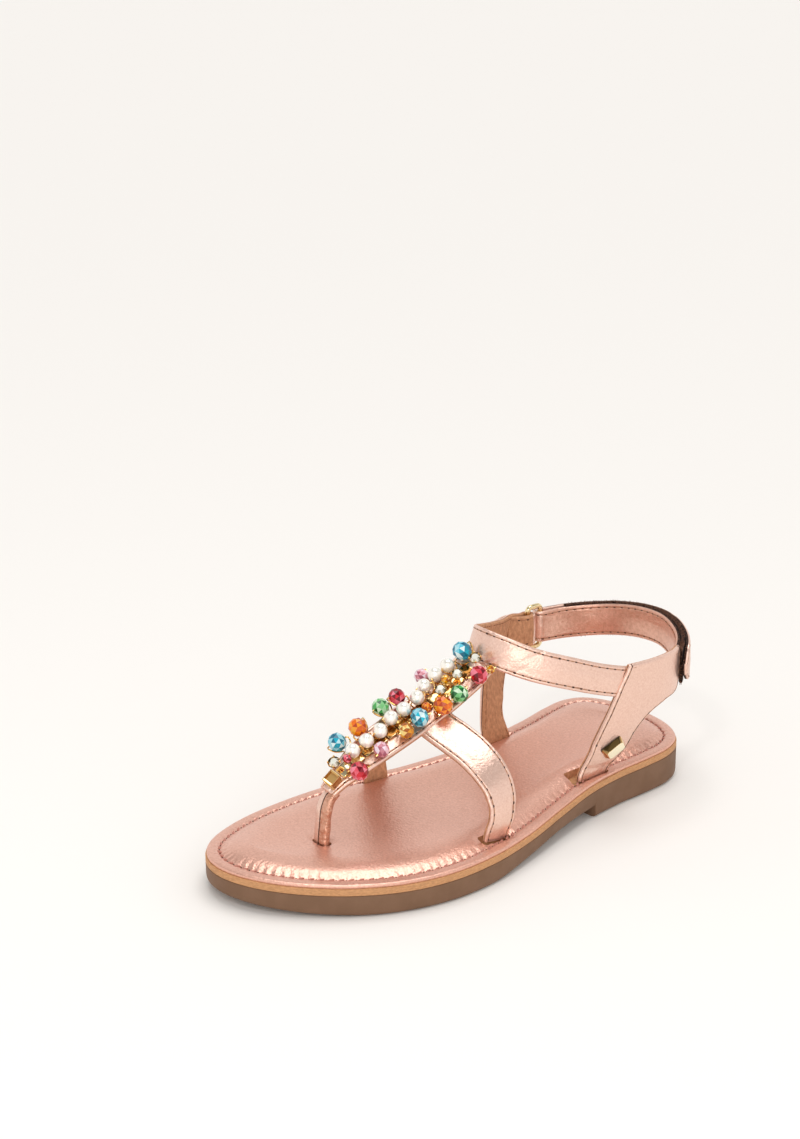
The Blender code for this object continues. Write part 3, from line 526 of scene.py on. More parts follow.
# %% [markdown]
# The footbed is thin leather over foam. A flat rim, a stitched groove, then a swelling pad. Between two
# stitches the leather gathers, so the pad's shoulder gets a small wave with the stitch's own spacing.
# The middle is bridged from side to side, cut into columns, and dished a little where the foot presses.
# At toe and heel the columns run together, so the mesh is smoothed there.

# %% Footbed
STITCH_PITCH = 3.5
stitch_count = round(GIRTH / STITCH_PITCH)
WAVE = np.cos(2 * math.pi * AROUND / GIRTH * stitch_count)
RIPPLE = 0.35 * np.sin(AROUND * 0.71) + 0.25 * np.sin(AROUND * 1.37 + 1.0)
Ring = namedtuple("Ring", "inset height gather")
FOOTBED_RINGS = (
    Ring(0.60, 0.00, 0.0), Ring(0.50, 0.35, 0.0), Ring(0.50, 0.85, 0.0), Ring(0.66, 1.16, 0.0),
    Ring(1.05, 1.32, 0.0), Ring(2.00, 1.37, 0.0), Ring(3.00, 1.36, 0.02), Ring(3.80, 1.32, 0.06),
    Ring(4.40, 1.20, 0.09), Ring(4.80, 0.96, 0.06), Ring(5.10, 0.78, 0.0), Ring(5.40, 0.93, -0.09),
    Ring(5.80, 1.15, -0.15), Ring(6.40, 1.47, -0.14), Ring(7.20, 1.88, -0.08), Ring(8.20, 2.35, -0.03),
    Ring(9.40, 2.82, 0.0), Ring(11.0, 3.22, 0.0), Ring(13.2, 3.46, 0.0), Ring(16.2, 3.54, 0.0))
GROOVE_RING = 10
SET_IN, SHRINK_ACROSS, SHRINK_ALONG = 8.2, 30.0, 95.0
COLUMN_CUTS, DISH = 24, 1.4
SMOOTHED_FROM, TIP_START, TIP_ROUNDS = 17, 70.0, 10
BED = RIM + SEAT


def footbed_loop(ring):
    """A loop is set in square to the outline near the rim. Further in it shrinks, so corners never cross."""
    wander = 0.12 * RIPPLE * (4.0 < ring.inset < 7.5)
    height = BED + ring.height + ring.gather * (WAVE + 0.3 * RIPPLE)
    loop = sole_loop(min(ring.inset, SET_IN) + wander, height)
    shrink = max(ring.inset - SET_IN, 0.0)
    middle = (loop[:, 0] + np.roll(loop[::-1, 0], 1)) / 2
    loop[:, 0] += (middle - loop[:, 0]) * shrink / SHRINK_ACROSS
    loop[:, 1] *= 1 - shrink / SHRINK_ALONG
    return loop


shape = bmesh.new()
last = sweep(shape, [metres(footbed_loop(ring)) for ring in FOOTBED_RINGS], caps=False)
close_across(shape, ring_at(shape, 0))
rims = footbed_loop(FOOTBED_RINGS[-1])
columns = close_across(shape, last)
edged = len(shape.verts)
bmesh.ops.subdivide_edges(shape, edges=columns, cuts=COLUMN_CUTS, use_grid_fill=True)
shape.verts.ensure_lookup_table()
order = np.argsort(rims[1:RUNGS, 1])
for vertex in shape.verts[edged:]:
    x, y, _ = np.array(vertex.co) / MM - SHIFT
    right = np.interp(y, rims[1:RUNGS, 1][order], rims[1:RUNGS, 0][order])
    left = np.interp(y, rims[:RUNGS:-1, 1][order], rims[:RUNGS:-1, 0][order])
    share = min(max((x - left) / (right - left), 0.0), 1.0)
    vertex.co.z -= DISH * MM * 4 * share * (1 - share) * (1 - (y / HALF_LENGTH) ** 2)
tips = [v for v in shape.verts[SMOOTHED_FROM * COUNT:] if abs(v.co.y / MM - SHIFT[1]) > TIP_START]
for _ in range(TIP_ROUNDS):
    bmesh.ops.smooth_vert(shape, verts=tips, factor=0.5, use_axis_x=True, use_axis_y=True, use_axis_z=True)
footbed = piece("footbed", shape, [FOOTBED, LINING], "rose_leather", ["insole"], sharp=60.0)
print("stitches round the footbed:", stitch_count)

# %% [markdown]
# Each strap passes down through a slot that is punched in the footbed. A box tool and a Boolean modifier
# punch all five at once, and the result is kept as the footbed's own mesh. The faces that the tool leaves
# are raw tan leather. Round a slot the padded leather is pulled down by the strap, so its border is drawn
# in afterwards.

# %% Slots in the footbed
Slot = namedtuple("Slot", "x y wide long")
SLOTS = (Slot(5.9, -65.7, 8.0, 4.6), Slot(41.8, -14.6, 4.6, 13.4), Slot(-24.9, -17.5, 3.6, 12.4),
         Slot(27.4, 45.2, 7.2, 19.0), Slot(-19.8, 39.6, 3.8, 15.6))
TOOL_MIDDLE, TOOL_HEIGHT, TOOL_CORNER = 15.0, 14.0, 1.7
PULL, PULL_WIDTH = 0.5, 0.9
SWELL, SWELL_AT, SWELL_WIDTH = 0.08, 2.8, 1.2


def slot_gap(point):
    """Distance in plan from a point in metres to the nearest slot."""
    x, y = np.array(point[:2]) / MM - SHIFT[:2]
    return min(math.hypot(max(abs(x - slot.x) - slot.wide / 2, 0.0),
                          max(abs(y - slot.y) - slot.long / 2, 0.0)) for slot in SLOTS)


def drop(edge):
    """How far an edge falls from one end to the other."""
    return abs(edge.verts[0].co.z - edge.verts[1].co.z)


def soften(shape, edges, offset, segments):
    """Rounds edges. The operator's defaults differ from the editor's, so every setting is given."""
    bmesh.ops.bevel(shape, geom=edges, offset=offset, affect="EDGES", segments=segments, profile=0.5,
                    material=-1)


shape = bmesh.new()
for slot in SLOTS:
    box = Matrix.Translation(Vector(metres((slot.x, slot.y, TOOL_MIDDLE)))) @ Matrix.Diagonal(
        (slot.wide * MM, slot.long * MM, TOOL_HEIGHT * MM, 1.0))
    bmesh.ops.create_cube(shape, size=1.0, matrix=box)
soften(shape, [edge for edge in shape.edges if drop(edge) > MM], TOOL_CORNER * MM, 4)
tool = mesh_object("slot_tool", shape)
punch = footbed.modifiers.new("slots", "BOOLEAN")
punch.object = tool
punch.operation = "DIFFERENCE"
graph = bpy.context.evaluated_depsgraph_get()
punched = bpy.data.meshes.new_from_object(footbed.evaluated_get(graph))
footbed.modifiers.clear()
footbed.data = punched
for face in punched.polygons:
    if slot_gap(face.center) < 0.05 and abs(face.normal.z) < 0.5:
        face.material_index = 1
for vertex in punched.vertices:
    if vertex.normal.z > 0.1:
        gap = slot_gap(vertex.co)
        swell = SWELL * math.exp(-((gap - SWELL_AT) / SWELL_WIDTH) ** 2)
        vertex.co.z += MM * (swell - PULL * math.exp(-(gap / PULL_WIDTH) ** 2))
bpy.data.objects.remove(tool)
print("footbed punched:", len(punched.polygons), "faces")

# %% [markdown]
# Every strap is two layers, rose leather over a tan lining, glued and stitched close to its edges. Its
# section shows all of that: a low crown, a stitch groove, a rounded edge, and the dark glue line between
# the layers. The heights of the section also say which finish each part of the ring takes.

# %% Strap section
LEATHER = 2.0
STITCH_BACK, SLIT_BACK, SLIT = 1.35, 1.2, -0.34
EDGE_FOOT = ((0.0, -0.60), (0.03, -0.86), (0.34, -0.94), (0.34, -1.06), (0.05, -1.14), (0.05, -1.62),
             (0.22, -1.88), (0.6, -2.0))
EDGE_SHAPE = ((3.4, 0.08), (2.4, 0.06), (1.8, 0.04), (STITCH_BACK, -0.15), (0.95, 0.03), (0.55, 0.0),
              (0.18, -0.22)) + EDGE_FOOT
# The folded edge has a slit groove near its edge. Its faces are painted dark, as painted shade in the groove.
FOLDED_EDGE = ((3.4, 0.08), (2.6, 0.06), (1.9, 0.05), (SLIT_BACK + 0.26, 0.04), (SLIT_BACK, SLIT),
               (SLIT_BACK - 0.24, 0.10), (0.5, 0.08), (0.14, -0.2)) + EDGE_FOOT


def strap_section(half, depth=LEATHER, crown=0.25, edge=EDGE_SHAPE):
    """Points across and up, round the section from the middle of the outer face."""
    fit = min(1.0, half / 4.5)
    inner = half - edge[0][0] * fit
    right = [(inner * share, crown * (1 - 0.7 * share ** 2)) for share in (0.0, 0.25, 0.5, 0.75)]
    right += [(half - back * fit, height * depth / LEATHER if height < -0.5 else height)
              for back, height in edge]
    right += [(half * 0.65, -depth), (half * 0.3, -depth)]
    left = [(-across, height) for across, height in reversed(right[1:])]
    return np.array(right + [(0.0, -depth)] + left)


def section_finishes(depth=LEATHER, lining=1, edge=EDGE_SHAPE):
    """0 for leather, 1 for lining and 2 for dark lines, by height on the section: the glue line, and the
    slit, whose groove is painted dark as painted shade.
    """
    heights = strap_section(8.0, depth, edge=edge)[:, 1]
    slit = np.isclose(heights, SLIT)
    slit = slit | np.roll(slit, -1)
    middle = (heights + np.roll(heights, -1)) / 2 * LEATHER / depth
    return [2 if dark else 0 if h > -0.9 else 2 if h > -1.1 else lining for h, dark in zip(middle, slit)]


print("section points:", len(strap_section(6.0)))

# %% [markdown]
# A path is a smooth curve through a few rows, sampled evenly. At each sample three directions are needed:
# along the strap, out of its face, and across it. Creases are listed as short furrows with a run, a side, a
# reach across, a depth, a width and a lean.

# %% Strap paths and creases
Row = namedtuple("Row", "x y z width")
Crease = namedtuple("Crease", "run side reach depth width lean")
ROUND_END = ((0.35, 0.85), (0.6, 0.5), (0.7, 0.08))


def read_at(at, run, table):
    """Rows of a table, read at given distances of its run."""
    return np.stack([np.interp(at, run, column) for column in table.T], axis=-1)


def even_path(rows, step):
    table = np.array(rows, float)
    knots = run_along(table[:, :3])
    fine = curve_through(knots, table, np.linspace(0, knots[-1], 1500))
    run = run_along(fine[:, :3])
    even = np.linspace(0, run[-1], max(2, round(run[-1] / step)) + 1)
    return read_at(even, run, fine), even


def directions(points, facing):
    along = unit(np.gradient(points, axis=0))
    out = unit(facing - np.sum(facing * along, axis=1, keepdims=True) * along)
    return along, out, np.cross(along, out)


def dents(creases, run, across, half):
    depth = np.zeros(len(across))
    for crease in creases:
        line = np.exp(-((run + crease.lean * across - crease.run) / crease.width) ** 2)
        if crease.side:
            start = half * (1 - 2 * crease.reach)
            line = line * smooth_step(start, half, across * crease.side)
        depth += crease.depth * line
    return depth


def strap_rings(path, run, facing, depth=LEATHER, crown=0.25, creases=(), round_ends=(False, False)):
    along, out, across = directions(path[:, :3], facing)
    rings = []

    def ring(i, push=0.0, squeeze=1.0):
        half = path[i, 3] / 2
        section = strap_section(half, depth, crown)
        height = (section[:, 1] + depth / 2) * squeeze - depth / 2
        height = height - dents(creases, run[i], section[:, 0], half)
        spine = path[i, :3] + along[i] * push
        return metres(spine + across[i] * section[:, :1] + out[i] * height[:, None])

    if round_ends[0]:
        rings += [ring(0, -push, squeeze) for push, squeeze in reversed(ROUND_END)]
    rings += [ring(i) for i in range(len(path))]
    if round_ends[1]:
        rings += [ring(len(path) - 1, push, squeeze) for push, squeeze in ROUND_END]
    return rings


def edge_lines(path, facing, back=STITCH_BACK, lift=0.0):
    """The two stitch lines of a strap as points and outward directions."""
    _, out, across = directions(path[:, :3], facing)
    half = path[:, 3:4] / 2
    reach = half - back * np.minimum(1.0, half / 4.5)
    face = path[:, :3] + out * lift
    return (face - across * reach, out), (face + across * reach, out)


TO_END = 999.0
stitch_lines = []
lining_lines = []


def strap(name, path, run, facing, replaces="upper", bands=((TO_END, section_finishes()),),
          sewn=((0, TO_END),), lined=(0, 0), **options):
    """A strap. Bands are (end of the run, finishes round it). Sewn and lined are runs with stitches."""
    shape = bmesh.new()
    steps = [next(sides for end, sides in bands if at < end) for at in run]
    sweep(shape, strap_rings(path, run, facing, **options), steps)
    for low, high in sewn:
        part = (run >= low) & (run <= high)
        stitch_lines.extend(edge_lines(path[part], facing[part]))
    if lined[1]:
        part = (run >= lined[0]) & (run <= lined[1])
        for line, out in edge_lines(path[part], facing[part], lift=-LEATHER):
            lining_lines.append((line, -out))
    piece(name, shape, [ROSE, LINING, SEAM_AND_SHADE, SHADED_ROSE, TAPE], "rose_leather", [replaces])


# %% [markdown]
# The thong post is a folded strip that stands between the toes: soft, nearly round, with a butt seam down
# its front. The T-strap starts at its head and climbs to the instep.

# %% Post and T-strap
POST = (Row(4.5, -59.4, 32.2, 5.6), Row(4.6, -62.4, 30.4, 6.6), Row(4.9, -64.6, 27.0, 6.8),
        Row(5.4, -66.2, 20.0, 6.8), Row(5.8, -67.2, 14.0, 7.0), Row(6.0, -67.4, 11.4, 7.0))
POST_SECTION = ((0.10, 0.02), (0.28, 0.10), (0.60, 0.05), (0.85, -0.25), (1.00, -0.80), (1.00, -2.20),
                (0.85, -2.90), (0.50, -3.20), (0.00, -3.25), (-0.50, -3.20), (-0.85, -2.90), (-1.00, -2.20),
                (-1.00, -0.80), (-0.85, -0.25), (-0.55, 0.05), (-0.20, 0.10), (-0.06, 0.02), (0.02, -0.45))
path, run = even_path(POST, 0.8)
facing = np.broadcast_to((0.0, -1.0, 0.2), (len(path), 3))
along, out, across = directions(path[:, :3], facing)
rings = []
for i, row in enumerate(path):
    bulge = 1.0 + 0.05 * math.sin(run[i] * 0.9) * math.exp(-((run[i] - 12) / 9) ** 2)
    places = [row[:3] + across[i] * (a * row[3] / 2 * bulge) + out[i] * h for a, h in POST_SECTION]
    rings.append(metres(places))
shape = bmesh.new()
sweep(shape, rings, [[0] * 8 + [1] * 8 + [2] * 2])
piece("thong_post", shape, [ROSE, COARSE, SEAM_AND_SHADE], "rose_leather", ["upper"])

T_STRAP = (Row(4.5, -61.5, 32.3, 7.0), Row(4.8, -57.0, 35.8, 9.0), Row(5.2, -50.0, 40.0, 12.5),
           Row(5.5, -40.0, 44.6, 15.0), Row(5.5, -28.0, 48.9, 16.0), Row(5.5, -16.0, 53.2, 16.0),
           Row(5.2, -4.0, 58.2, 16.0), Row(4.8, 4.0, 61.9, 16.0), Row(4.5, 12.0, 67.0, 15.0))
T_FACING = (0.33, 0.0, 0.94)
t_path, t_run = even_path(T_STRAP, 1.0)
t_facing = np.broadcast_to(T_FACING, (len(t_path), 3))
strap("t_strap", t_path, t_run, t_facing, round_ends=(True, False))

# %% [markdown]
# Two side straps come out from under the T-strap and curve down to their slots. They face away from an
# axis that runs along the foot, leaning forward as they rise.

# %% Side straps
OUTER_SIDE = (Row(7.0, -18.0, 51.2, 15.0), Row(13.0, -17.3, 48.9, 15.0), Row(21.0, -15.6, 46.0, 15.0),
              Row(30.3, -13.9, 42.3, 14.5), Row(37.4, -12.7, 37.5, 13.8), Row(42.4, -12.0, 31.5, 12.5),
              Row(44.3, -12.0, 26.0, 11.5), Row(44.6, -12.8, 20.0, 11.0), Row(43.5, -14.0, 14.6, 11.2),
              Row(43.2, -14.3, 12.3, 11.2))
INNER_SIDE = (Row(2.0, -23.5, 50.8, 12.0), Row(-3.0, -22.5, 52.2, 12.5), Row(-7.0, -19.8, 49.8, 13.0),
              Row(-12.0, -18.2, 46.0, 13.2), Row(-17.5, -17.6, 40.6, 13.2), Row(-21.7, -17.2, 35.8, 13.0),
              Row(-25.5, -17.3, 30.0, 12.2), Row(-27.4, -17.4, 22.0, 11.4), Row(-26.2, -17.5, 14.0, 11.2),
              Row(-25.9, -17.5, 12.0, 11.2))


def from_foot_axis(points):
    facing = points - np.array([5.5, 0.0, 16.0])
    facing[:, 1] = -0.36 * np.clip(facing[:, 2], 0.0, None)
    return facing


OUTER_SIDE_CREASES = (Crease(46, 1, 0.45, 0.35, 1.6, 0.25), Crease(50, -1, 0.5, 0.30, 1.5, -0.2))
INNER_SIDE_CREASES = (Crease(40, -1, 0.5, 0.35, 1.6, 0.3), Crease(46, 1, 0.4, 0.25, 1.4, -0.2))
for name, rows, creases in (("outer_side_strap", OUTER_SIDE, OUTER_SIDE_CREASES),
                            ("inner_side_strap", INNER_SIDE, INNER_SIDE_CREASES)):
    path, run = even_path(rows, 1.0)
    strap(name, path, run, from_foot_axis(path[:, :3]), creases=creases)

# %% [markdown]
# The instep strap starts inside, folds round the ring's front bar, crosses over the T-strap and ends under
# the outer quarter. Its rows carry the facing as well, so that the fold can turn it inside out.

# %% Instep strap
RING_X, RING_FRONT_BAR, RING_BACK_BAR, RING_MIDDLE = -33.2, 68.3, 75.4, 52.9
FOLD_FACE = 3.4
ANKLE_HUB = np.array([3.0, 57.0, 52.9])
INSTEP = (Row(-36.6, 67.0, 53.0, 13.2), Row(-34.2, 58.0, 54.6, 14.0), Row(-28.8, 48.0, 56.6, 13.5),
          Row(-21.5, 35.0, 60.5, 13.0), Row(-13.0, 22.5, 65.0, 13.0), Row(-4.5, 13.5, 69.0, 13.0),
          Row(4.0, 10.3, 70.6, 13.0), Row(12.5, 13.2, 69.0, 13.0), Row(22.0, 21.8, 64.8, 12.5),
          Row(29.5, 33.0, 61.0, 12.3), Row(35.3, 46.5, 56.6, 12.0), Row(38.0, 55.0, 54.6, 12.0),
          Row(38.6, 60.0, 53.8, 12.0))
FOLD_WIDTH = 13.2
rows = [(-31.0, 55.8, 54.6, 13.0, 1.0, 0.0, 0.0),
        (RING_X + FOLD_FACE - 0.3, 62.3, RING_MIDDLE + 0.4, FOLD_WIDTH, 1.0, 0.0, 0.0)]
for angle in np.linspace(math.pi, 0.0, 9):
    out = (-math.cos(angle), math.sin(angle), 0.0)
    rows.append((RING_X + FOLD_FACE * out[0], RING_FRONT_BAR + FOLD_FACE * out[1], RING_MIDDLE, FOLD_WIDTH,
                 *out))
for row in INSTEP:
    rows.append((*row, *unit(np.array(row[:3]) - ANKLE_HUB)))
INSTEP_CREASES = (
    Crease(104, 1, 0.9, 0.40, 0.9, 1.0), Crease(107.5, 1, 0.8, 0.45, 0.8, 1.1),
    Crease(111, 1, 0.9, 0.40, 0.8, 1.15), Crease(114, 1, 0.7, 0.35, 0.7, 1.2),
    Crease(117.5, -1, 0.8, 0.35, 0.8, 1.1), Crease(121, 1, 0.6, 0.30, 0.9, 1.0),
    Crease(98, -1, 0.6, 0.35, 1.0, 0.8), Crease(51, 1, 0.5, 0.40, 1.6, 0.4),
    Crease(64, -1, 0.45, 0.35, 1.6, -0.3), Crease(128, -1, 0.4, 0.20, 1.6, 0.5),
    Crease(139, 1, 0.4, 0.20, 1.8, -0.4))
path, run = even_path(rows, 0.6)
both_faces = section_finishes()
strap("instep_strap", path, run, path[:, 4:7], creases=INSTEP_CREASES,
      bands=((12.8, [1] * len(both_faces)), (TO_END, both_faces)), sewn=((1.0, 11.0), (25.0, TO_END)),
      lined=(30.0, 92.0))

# %% [markdown]
# The quarters are the panels that rise from the sole and carry the instep strap. A panel follows the wall
# of the foot: a table gives its front and rear edge, and the wall's curve gives the third coordinate.

# %% Quarters
Edge = namedtuple("Edge", "front_y front_z rear_y rear_z")
OUTER_QUARTER = (Edge(38.8, 14.8, 53.7, 14.8), Edge(39.2, 17.0, 54.2, 17.0), Edge(40.8, 20.5, 57.3, 20.4),
                 Edge(43.0, 26.0, 60.9, 26.0), Edge(45.3, 34.7, 63.4, 33.0), Edge(48.0, 43.0, 69.0, 38.8),
                 Edge(50.0, 49.0, 77.0, 41.6), Edge(52.0, 54.0, 86.0, 43.4), Edge(54.0, 58.0, 87.6, 51.4),
                 Edge(55.4, 61.0, 87.6, 59.7))
INNER_QUARTER = (Edge(32.6, 14.6, 47.0, 14.6), Edge(32.4, 17.0, 46.4, 17.0), Edge(32.0, 23.0, 45.0, 22.0),
                 Edge(32.2, 31.0, 45.6, 28.0), Edge(33.2, 39.0, 49.0, 35.0), Edge(36.0, 47.0, 54.0, 41.0),
                 Edge(39.0, 53.0, 59.0, 45.0), Edge(42.0, 58.5, 62.0, 50.5), Edge(44.5, 62.6, 63.0, 59.2))
OUTER_PLAN = ((34, 29.0), (44, 34.0), (50, 36.6), (55, 38.0), (65, 38.6), (76, 37.5), (84, 35.1), (89, 32.2))
INNER_PLAN = ((30, -18.0), (36, -22.2), (42, -25.6), (48, -28.8), (58, -34.2), (66, -35.6))
WALL_SPREAD = ((14, 0.0), (17, 0.05), (26, 0.42), (34, 0.70), (42, 0.90), (50, 1.0))
SLOT_X = {1: 29.0, -1: -19.5}
QUARTER_LAP = 1.1
QUARTER_LEATHER = 2.3


def wall(side, y, z, lift=0.0):
    """A point of the foot's wall, raised off it by a lift, and the direction out of the wall there."""
    plan = np.array(OUTER_PLAN if side > 0 else INNER_PLAN)
    spread = np.array(WALL_SPREAD)

    def place(y, z):
        share = curve_through(spread[:, 0], spread[:, 1], z)
        x = SLOT_X[side] * (1 - share) + curve_through(plan[:, 0], plan[:, 1], y) * share
        return np.stack([x, y, z], axis=-1)

    face = place(y, z)
    out = np.cross(place(y + 0.2, z) - face, place(y, z + 0.2) - face)
    out = unit(out * np.sign(out[..., 0:1]) * side)
    return face + out * np.reshape(lift, (-1, 1)), out


def quarter_table(rows, step):
    fine = curve_through(np.arange(len(rows)), np.array(rows, float), np.linspace(0, len(rows) - 1, 800))
    middle = (fine[:, :2] + fine[:, 2:]) / 2
    run = run_along(middle)
    even = np.linspace(0, run[-1], round(run[-1] / step) + 1)
    return read_at(even, run, fine), even


def quarter_ring(row, run, side, creases, push=0.0, squeeze=1.0, rise=(0.0, 0.0)):
    front, rear = row[:2], row[2:]
    length = np.linalg.norm(rear - front)
    section = strap_section(length / 2, QUARTER_LEATHER, edge=FOLDED_EDGE)
    share = section[:, :1] / length + 0.5
    spot = front * (1 - share) + rear * share + np.array(rise) * push
    height = (section[:, 1] + QUARTER_LEATHER / 2) * squeeze - QUARTER_LEATHER / 2
    height = height - dents(creases, run, section[:, 0], length / 2)
    return metres(wall(side, spot[:, 0], spot[:, 1], QUARTER_LAP + height)[0])


def quarter(name, rows, side, creases):
    table, run = quarter_table(rows, 1.0)
    middle = (table[:, :2] + table[:, 2:]) / 2
    rise = unit(middle[-1] - middle[-3])
    rings = [quarter_ring(row, at, side, creases) for row, at in zip(table, run)]
    for push, squeeze in ROUND_END:
        rings.append(quarter_ring(table[-1], run[-1], side, creases, push, squeeze, rise))
    shape = bmesh.new()
    sweep(shape, rings, [section_finishes(QUARTER_LEATHER, edge=FOLDED_EDGE)])
    ends = unit(table[:, 2:] - table[:, :2]) * SLIT_BACK
    front_line, rear_line = table[:, :2] + ends, table[:, 2:] - ends
    lid = table[np.searchsorted(run, run[-1] - 1.6)]
    top_line = lid[:2] + (lid[2:] - lid[:2]) * np.linspace(0.06, 0.94, 40)[:, None]
    for line in (front_line, rear_line, top_line):
        stitch_lines.append(wall(side, line[:, 0], line[:, 1], QUARTER_LAP))
        points, out = wall(side, line[:, 0], line[:, 1], QUARTER_LAP - QUARTER_LEATHER)
        lining_lines.append((points, -out))
    piece(name, shape, [ROSE, LINING, SEAM_AND_SHADE], "rose_leather", ["upper"])


OUTER_QUARTER_CREASES = (Crease(5, 0, 0, 0.25, 1.5, 0.1), Crease(14, -1, 0.4, 0.30, 1.8, 0.3))
INNER_QUARTER_CREASES = (Crease(6, 0, 0, 0.25, 1.5, -0.1), Crease(20, 1, 0.4, 0.30, 2.0, 0.3))
quarter("outer_quarter", OUTER_QUARTER, 1, OUTER_QUARTER_CREASES)
quarter("inner_quarter", INNER_QUARTER, -1, INNER_QUARTER_CREASES)

# %% [markdown]
# The heel strap leaves the outer quarter, goes round the heel, turns round the ring's rear bar and comes
# back on the outside to a round tab. It is leather on both faces, with tape where its two layers meet. Its
# rows follow the face that touches the bar, and the leather lies on the other side of that face.

# %% Heel strap
HEEL_STRAP = (Row(34.9, 84.3, 50.9, 17.0), Row(33.0, 88.0, 51.6, 16.4), Row(27.5, 94.5, 54.0, 14.6),
              Row(15.0, 101.0, 57.0, 13.6), Row(-1.0, 103.5, 56.6, 13.5), Row(-15.0, 100.5, 54.9, 13.5),
              Row(-25.0, 93.0, 53.4, 13.5), Row(-30.4, 84.0, 52.8, 13.5), Row(-31.8, 75.4, 52.9, 13.2))
HEEL_HUB = np.array([0.0, 70.0])
HEEL_LEATHER = 1.8
FOLD = 1.4
RING_ROWS = 5
FLAP_GAP, FLAP_LIFT, FLAP_RISE = 2.0, 0.6, 16.0
TAB_START, TAB_ROUND, TAB_WIDTH = 2.4, 6.0, 15.5

heel_path, heel_run = even_path(HEEL_STRAP, 0.9)
heel_out = np.column_stack([heel_path[:, :2] - HEEL_HUB, np.zeros(len(heel_path))])
heel_out = directions(heel_path[:, :3], heel_out)[1]
heel_out[:, 2] = 0.0
heel_out = unit(heel_out)
rows = [(*point, *(-out)) for point, out in zip(heel_path, heel_out)]
for angle in np.linspace(0.0, math.pi, 11)[1:]:
    out = (math.cos(angle), -math.sin(angle), 0.0)
    rows.append((RING_X + FOLD * out[0], RING_BACK_BAR + FOLD * out[1], RING_MIDDLE, FOLD_WIDTH, *out))
for i in range(len(heel_path) - RING_ROWS, 0, -1):
    left = heel_run[i] - TAB_START
    if left > 0:
        taper = math.sqrt(max(1 - (1 - min(left / TAB_ROUND, 1.0)) ** 2, 0.1))
        stand = FLAP_GAP + FLAP_LIFT * (1 - smooth_step(0.0, FLAP_RISE, left))
        width = min(heel_path[i, 3], TAB_WIDTH) * taper
        rows.append((*(heel_path[i, :3] + heel_out[i] * stand), width, *heel_out[i]))
path, run = even_path(rows, 0.9)
path[:, :3] += unit(path[:, 4:7]) * HEEL_LEATHER
HEEL_CREASES = tuple(Crease(run[-1] * share, side, reach, 0.25, 1.7, lean) for share, side, reach, lean in (
    (0.56, 1, 0.5, 0.3), (0.60, -1, 0.4, -0.3), (0.66, 1, 0.35, 0.2), (0.75, -1, 0.35, 0.3),
    (0.84, 1, 0.3, -0.2)))
flap = section_finishes(HEEL_LEATHER, 4)
# The heel strap's face turned to the foot, and both faces of its last stretch before the ring, take the
# darker copy of the rose leather as painted shade.
inner_lap = [3 if side == 0 else side for side in flap]
at_ring = heel_run[-1]
heel_bands = ((at_ring - 12, inner_lap), (at_ring, [3] * len(flap)),
              (at_ring + 16, section_finishes(HEEL_LEATHER, 0)), (TO_END, flap))
strap("heel_strap", path, run, path[:, 4:7], replaces="heel_strap", depth=HEEL_LEATHER, creases=HEEL_CREASES,
      bands=heel_bands, round_ends=(False, True))

# %% [markdown]
# The fastener is a strip of brown loop tape between the two layers of the heel strap. Its section is a
# plain soft slab. Short ends of pile stand out of its two long edges, where it shows.

# %% Hook-and-loop strip
STRIP_DEPTH, STRIP_START, STRIP_STOP = 1.6, 4.2, 12.0
PILE_BATCHES, PILE_IN_BATCH = 18, 50
keep = (heel_run > STRIP_START) & (heel_run < heel_run[-1] - STRIP_STOP)
TAPE_SECTION = ((0.0, 0.0), (0.5, 0.0), (0.9, -0.05), (1.0, -0.35), (1.0, -1.25), (0.9, -1.55), (0.5, -1.6),
                (0.0, -1.6))
section = list(TAPE_SECTION) + [(-a, h) for a, h in reversed(TAPE_SECTION[1:-1])]
points = heel_path[keep, :3] + heel_out[keep] * (SEAT + STRIP_DEPTH)
along, out, across = directions(points, heel_out[keep])
half = (heel_path[keep, 3] + 0.2) / 2
rough = np.random.default_rng(7)
rings = []
for i in range(len(points)):
    fuzz = 1.0 + rough.uniform(-0.02, 0.02, len(section))
    rings.append(metres([points[i] + across[i] * a * f * half[i] + out[i] * h
                         for (a, h), f in zip(section, fuzz)]))
shape = bmesh.new()
sweep(shape, rings)
TOP_EDGE = 1 if across[len(across) // 2, 2] > 0 else -1
for _ in range(PILE_BATCHES):
    pile = bmesh.new()
    for number in range(PILE_IN_BATCH):
        i = rough.integers(0, len(points))
        side = TOP_EDGE if number % 4 else -TOP_EDGE
        root = points[i] + across[i] * side * half[i] + out[i] * rough.uniform(-1.5, -0.1)
        lean = across[i] * side + along[i] * rough.uniform(-0.9, 0.9) + out[i] * rough.uniform(-0.6, 0.6)
        turned = Vector(lean).to_track_quat("Z", "Y").to_matrix().to_4x4()
        bmesh.ops.create_cone(pile, segments=4, radius1=0.15 * MM, radius2=0.05 * MM,
                              depth=rough.uniform(0.9, 2.0) * MM,
                              matrix=Matrix.Translation(Vector(metres(root))) @ turned)
    for face in pile.faces:
        face.material_index = 1
    pour(shape, pile)
piece("loop_tape", shape, [TAPE, TAPE_PILE], "fastener", ["fastener_strip"])

# %% [markdown]
# The ring is round gold wire bent to an upright rectangle. A closed path of sections with round corners,
# twelve vertices round the wire, bridged at the end.

